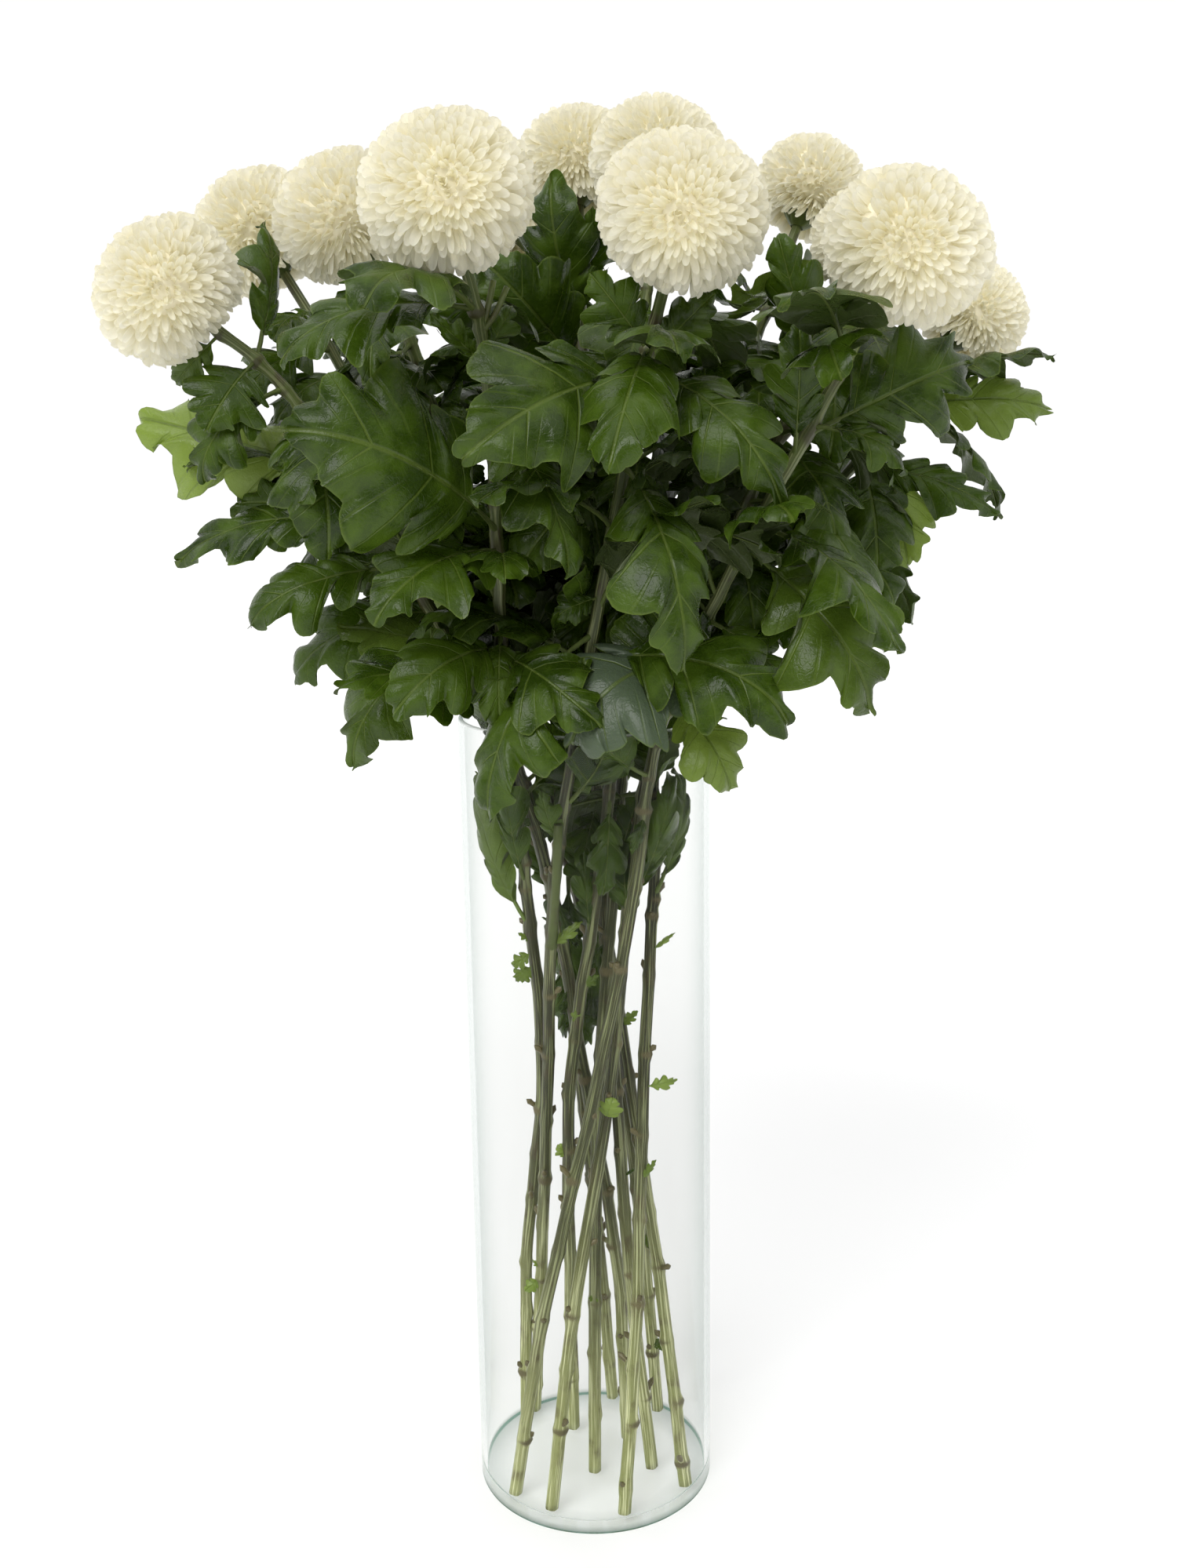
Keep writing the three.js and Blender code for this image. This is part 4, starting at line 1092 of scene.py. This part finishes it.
def petal_material():
    """Cream florets, yellow-tan towards their roots, that let some light through."""
    nodes = material_nodes("cream_florets")
    along, own, middle = nodes.tint()
    deep = nodes.mix(own, (0.92, 0.85, 0.60), (0.94, 0.895, 0.71))
    pale = nodes.mix(own, (0.95, 0.92, 0.77), (0.965, 0.945, 0.84))
    pale = nodes.mix(middle, pale, (0.96, 0.93, 0.77))
    paint = nodes.mix(nodes.fade(along, 0.1, 0.75), deep, pale)
    ribs = nodes.math("COSINE", nodes.product(nodes.place()[0], 9.0))
    grain = nodes.math("ADD", nodes.product(nodes.noise(900.0), 1.4), nodes.product(ribs, 0.35))
    bump = nodes.bump(grain, 0.25, 0.0003)
    glow = nodes.add("BsdfTranslucent", {"Color": paint, "Normal": bump}).outputs[0]
    return nodes.finish(nodes.shader_mix(0.45, nodes.principled(paint, 0.62, 0.3, bump), glow))


def core_material():
    """The dark yellow depth between the florets."""
    nodes = material_nodes("bloom_depth")
    paint = nodes.mix(nodes.noise(260.0), (0.88, 0.81, 0.60), (0.93, 0.89, 0.71))
    return nodes.finish(nodes.principled(paint, 0.8))


def blade_veins(nodes, out, vein, share):
    """How much of a vein each place of a blade is: the midrib, its side veins and the finer ones between."""
    main = nodes.math("DIVIDE", nodes.math("PINGPONG", vein, 0.5), nodes.math("SUBTRACT", 1.12, share))
    half = nodes.math("PINGPONG", nodes.math("ADD", nodes.product(vein, 2.0), 0.5), 0.5)
    finer = nodes.product(nodes.fade(half, 0.015, 0.05, 1.0, 0.0), nodes.fade(share, 0.15, 0.5))
    side = nodes.math("MAXIMUM", nodes.fade(main, 0.008, 0.038, 1.0, 0.0), nodes.product(finer, 0.4))
    return nodes.math("MAXIMUM", nodes.fade(out, 0.010, 0.04, 1.0, 0.0), side)


def blade_material():
    """Dark green blades with pale veins and rims, paler below, bright where light comes through. Some carry a
    painted silvery sheen, new growth a paler green that partly paints a glow of light from behind, and leaves
    deep in the bunch painted shade.
    """
    nodes = material_nodes("leaf_blade")
    out, own, young = nodes.tint()
    vein, share = nodes.place()
    new_growth_glow = nodes.fade(young, 0.0, 1.0)
    patches = nodes.noise(55.0, 4.0)
    # own: a random tone times the leaf's painted brightness share; low values paint the leaves in shade
    # darker.
    upper = nodes.mix(own, (0.014, 0.031, 0.002), (0.047, 0.090, 0.004))
    upper = nodes.mix(nodes.fade(patches, 0.35, 0.7), upper, (0.062, 0.112, 0.006))
    # Painted sheen: a silvery grey-green where the newness is below 0.
    upper = nodes.mix(nodes.fade(young, 0.0, -1.0), upper, (0.085, 0.115, 0.072))
    # New growth: a paler green, partly a painted glow of light from behind.
    upper = nodes.mix(new_growth_glow, upper, (0.20, 0.28, 0.05))
    veins = blade_veins(nodes, out, vein, share)
    inputs = {"Vector": nodes.object_place(), "Scale": 330.0}
    cells = nodes.add("TexVoronoi", inputs, feature="DISTANCE_TO_EDGE").outputs["Distance"]
    net = nodes.fade(cells, 0.0, 0.12, 1.0, 0.0)
    marks = nodes.math("MAXIMUM", nodes.product(veins, 0.6), nodes.product(net, 0.07))
    marks = nodes.math("MAXIMUM", marks, nodes.product(nodes.fade(share, 0.955, 1.0), 0.6))
    upper = nodes.mix(marks, upper, (0.12, 0.175, 0.026))
    below = nodes.mix(marks, (0.060, 0.080, 0.028), (0.12, 0.15, 0.06))
    paint = nodes.mix(nodes.add("NewGeometry").outputs["Backfacing"], upper, below)
    height = nodes.math("SUBTRACT", nodes.product(nodes.noise(260.0), 0.8), nodes.product(veins, 0.9))
    bump = nodes.bump(nodes.math("SUBTRACT", height, nodes.product(net, 0.08)), 0.6, 0.0010)
    through = nodes.mix(veins, (0.040, 0.085, 0.002), (0.03, 0.05, 0.003))
    through = nodes.mix(new_growth_glow, through, (0.50, 0.72, 0.10))
    blade = nodes.principled(paint, nodes.fade(patches, 0.3, 0.7, 0.20, 0.38), 0.33, bump)
    glow = nodes.add("BsdfTranslucent", {"Color": through, "Normal": bump}).outputs[0]
    return nodes.finish(nodes.shader_mix(0.18, blade, glow))


def rib_material():
    nodes = material_nodes("petiole_green")
    streaks = nodes.noise(160.0)
    paint = nodes.mix(streaks, (0.060, 0.085, 0.015), (0.13, 0.17, 0.045))
    paint = nodes.mix(nodes.tint()[2], paint, (0.20, 0.31, 0.06))
    return nodes.finish(nodes.principled(paint, 0.5, 0.25, nodes.bump(streaks, 0.3, 0.0004)))


def stem_material():
    """Olive at the foot, greener above, with long ridges, pale streaks that are partly the stem's own striping
    and partly painted highlight, brown node scars and speckles.
    """
    nodes = material_nodes("stem_green")
    height, scar, own = nodes.tint()
    patches = nodes.noise(70.0, 4.0)
    low = nodes.mix(own, (0.23, 0.25, 0.085), (0.38, 0.40, 0.16))
    high = nodes.mix(own, (0.024, 0.024, 0.007), (0.050, 0.055, 0.015))
    top = nodes.mix(own, (0.060, 0.085, 0.016), (0.10, 0.135, 0.03))
    high = nodes.mix(nodes.fade(height, 0.48, 0.66), high, top)
    up = nodes.math("ADD", height, nodes.product(nodes.math("SUBTRACT", own, 0.5), 0.12))
    up = nodes.fade(up, 0.0, 0.24)
    aged = nodes.mix(up, (0.13, 0.12, 0.04), (0.045, 0.034, 0.012))
    paint = nodes.mix(nodes.fade(patches, 0.5, 0.72), nodes.mix(up, low, high), aged)
    turn_x, turn_y = nodes.place()
    rise = nodes.math("ADD", nodes.product(height, 6.0), nodes.product(own, 50.0))
    round_stem = nodes.add("CombineXYZ", {0: turn_x, 1: turn_y, 2: rise}).outputs[0]
    streaks = nodes.noise(3.2, 3.0, 0.6, round_stem)
    # Pale streaks: partly the stem's own striping, partly a painted highlight.
    pale_streak_and_highlight = nodes.mix(up, (0.70, 0.72, 0.42), (0.23, 0.255, 0.11))
    paint = nodes.mix(nodes.fade(streaks, 0.46, 0.66), paint, pale_streak_and_highlight)
    brown = nodes.mix(patches, (0.050, 0.041, 0.014), (0.19, 0.165, 0.070))
    brown = nodes.mix(nodes.fade(height, 0.42, 0.52), brown, (0.060, 0.060, 0.018))
    paint = nodes.mix(nodes.fade(scar, 0.25, 0.7), paint, brown)
    return nodes.finish(nodes.principled(paint, 0.4, 0.4, nodes.bump(streaks, 0.6, 0.0006)))


def glass_material():
    """Clear glass with painted light and shade: a dark green painted shade line along its foot, darker and
    greener painted shade towards its sides, no tint low down so the disc seen through its base is painted
    brighter, a pale rim that is a painted highlight, and faint water marks.
    """
    nodes = material_nodes("clear_glass")
    marks = nodes.fade(nodes.noise(24.0, 5.0), 0.55, 0.8, 0.0, 0.035)
    foot, height, rim = nodes.tint()
    facing = nodes.add("LayerWeight", {"Blend": 0.5}).outputs["Facing"]
    # Painted shade: darker and greener where the view grazes the wall.
    paint = nodes.mix(nodes.fade(facing, 0.4, 1.0), (0.935, 0.937, 0.931), (0.60, 0.66, 0.63))
    # Painted light: no tint and no painted edge shade low down, so the disc seen through the base reads
    # brighter.
    paint = nodes.mix(nodes.fade(height, 0.008, 0.06), (1, 1, 1), paint)
    # Painted shade: a dark green line along the outer edge of the foot.
    paint = nodes.mix(foot, paint, (0.05, 0.13, 0.09))
    glass = nodes.principled(paint, marks, **{"IOR": 1.12, "Transmission Weight": 1.0})
    # Painted highlight: a pale diffuse line along the rim.
    painted_rim_highlight = nodes.add("BsdfDiffuse", {"Color": (0.88, 0.93, 0.86)}).outputs[0]
    glass = nodes.shader_mix(nodes.product(rim, 0.6), glass, painted_rim_highlight)
    clear = nodes.add("BsdfTransparent", {"Color": (0.998, 0.999, 0.998)}).outputs[0]
    rays = nodes.add("LightPath").outputs
    lets_through = nodes.math("MAXIMUM", rays["Is Shadow Ray"], rays["Is Diffuse Ray"])
    trapped = nodes.math("GREATER_THAN", rays["Glossy Depth"], 2.5)
    shader = nodes.shader_mix(nodes.math("MAXIMUM", lets_through, trapped), glass, clear)
    volume = nodes.add("VolumeAbsorption", {"Color": (0.10, 0.45, 0.32), "Density": 2.5}).outputs[0]
    return nodes.finish(shader, Volume=volume)


def floor_material():
    nodes = material_nodes("pale_floor")
    paint = nodes.mix(nodes.noise(3.0), (0.93, 0.93, 0.93), (0.95, 0.95, 0.95))
    return nodes.finish(nodes.add("BsdfDiffuse", {"Color": paint}).outputs[0])


# Studio
FLOOR_SIZE = 30.0
FLOOR_DROP = 0.0003
SKY_BEHIND = (1.03, 1.03, 1.03)
SKY_FRONT = 0.17
SKY_ABOVE = (1.02, 1.02, 1.02)
KEY_STRENGTH = 1.65
KEY_FROM = (-0.45, -0.9, 0.85)
KEY_ANGLE = 42


def add_object(name, data):
    """An object with this data, in the scene."""
    thing = bpy.data.objects.new(name, data)
    bpy.context.scene.collection.objects.link(thing)
    return thing


def add_studio():
    """A pale floor, soft white light all round that is brightest behind and above, and a soft key light."""
    shape = Shape()
    ends = np.array([-FLOOR_SIZE / 2, FLOOR_SIZE / 2])
    across, along = np.meshgrid(ends, ends)
    shape.grid(np.stack([across, along, np.full((2, 2), -FLOOR_DROP)], -1))
    floor = shape.piece("floor", floor_material())
    nodes = Nodes(bpy.data.worlds.new("soft_studio"))
    bpy.context.scene.world = nodes.owner
    direction = nodes.add("SeparateXYZ", {0: nodes.add("TexCoord").outputs["Generated"]}).outputs
    round_about = nodes.fade(direction[1], -0.5, 0.3, SKY_FRONT, SKY_BEHIND[0])
    level = nodes.mix(nodes.fade(direction[2], 0.2, 0.8), round_about, SKY_ABOVE)
    level = nodes.mix(nodes.add("LightPath").outputs["Is Camera Ray"], level, SKY_BEHIND)
    light = nodes.add("Background", {"Color": level, "Strength": 1.0})
    nodes.add("OutputWorld", {"Surface": light.outputs[0]})
    key = add_object("key", bpy.data.lights.new("key", "SUN"))
    key.data.energy = KEY_STRENGTH
    key.data.angle = math.radians(KEY_ANGLE)
    key.rotation_euler = Vector(KEY_FROM).to_track_quat("Z", "Y").to_euler()


def add_camera():
    camera = add_object("camera", bpy.data.cameras.new("camera"))
    camera.data.sensor_width = SENSOR
    camera.data.lens = LENS
    down = Matrix.Rotation(math.radians(90 - CAMERA_DOWN), 4, "X")
    roll = Matrix.Rotation(math.radians(CAMERA_ROLL), 4, "Z")
    camera.matrix_world = Matrix.Translation(CAMERA_PLACE) @ down @ roll
    bpy.context.scene.camera = camera


def main():
    petal, core, blade, rib, stem = (
        make() for make in (petal_material, core_material, blade_material, rib_material, stem_material))
    vase_piece(glass_material())
    for index, flower in enumerate(FLOWERS):
        plant = make_plant(flower, index)
        bloom_piece(flower, plant, petal, core)
        foliage_piece(flower, plant, blade, rib)
        stem_piece(flower, plant, stem)
    add_studio()
    add_camera()
    bpy.context.scene.view_settings.view_transform = "Standard"


main()
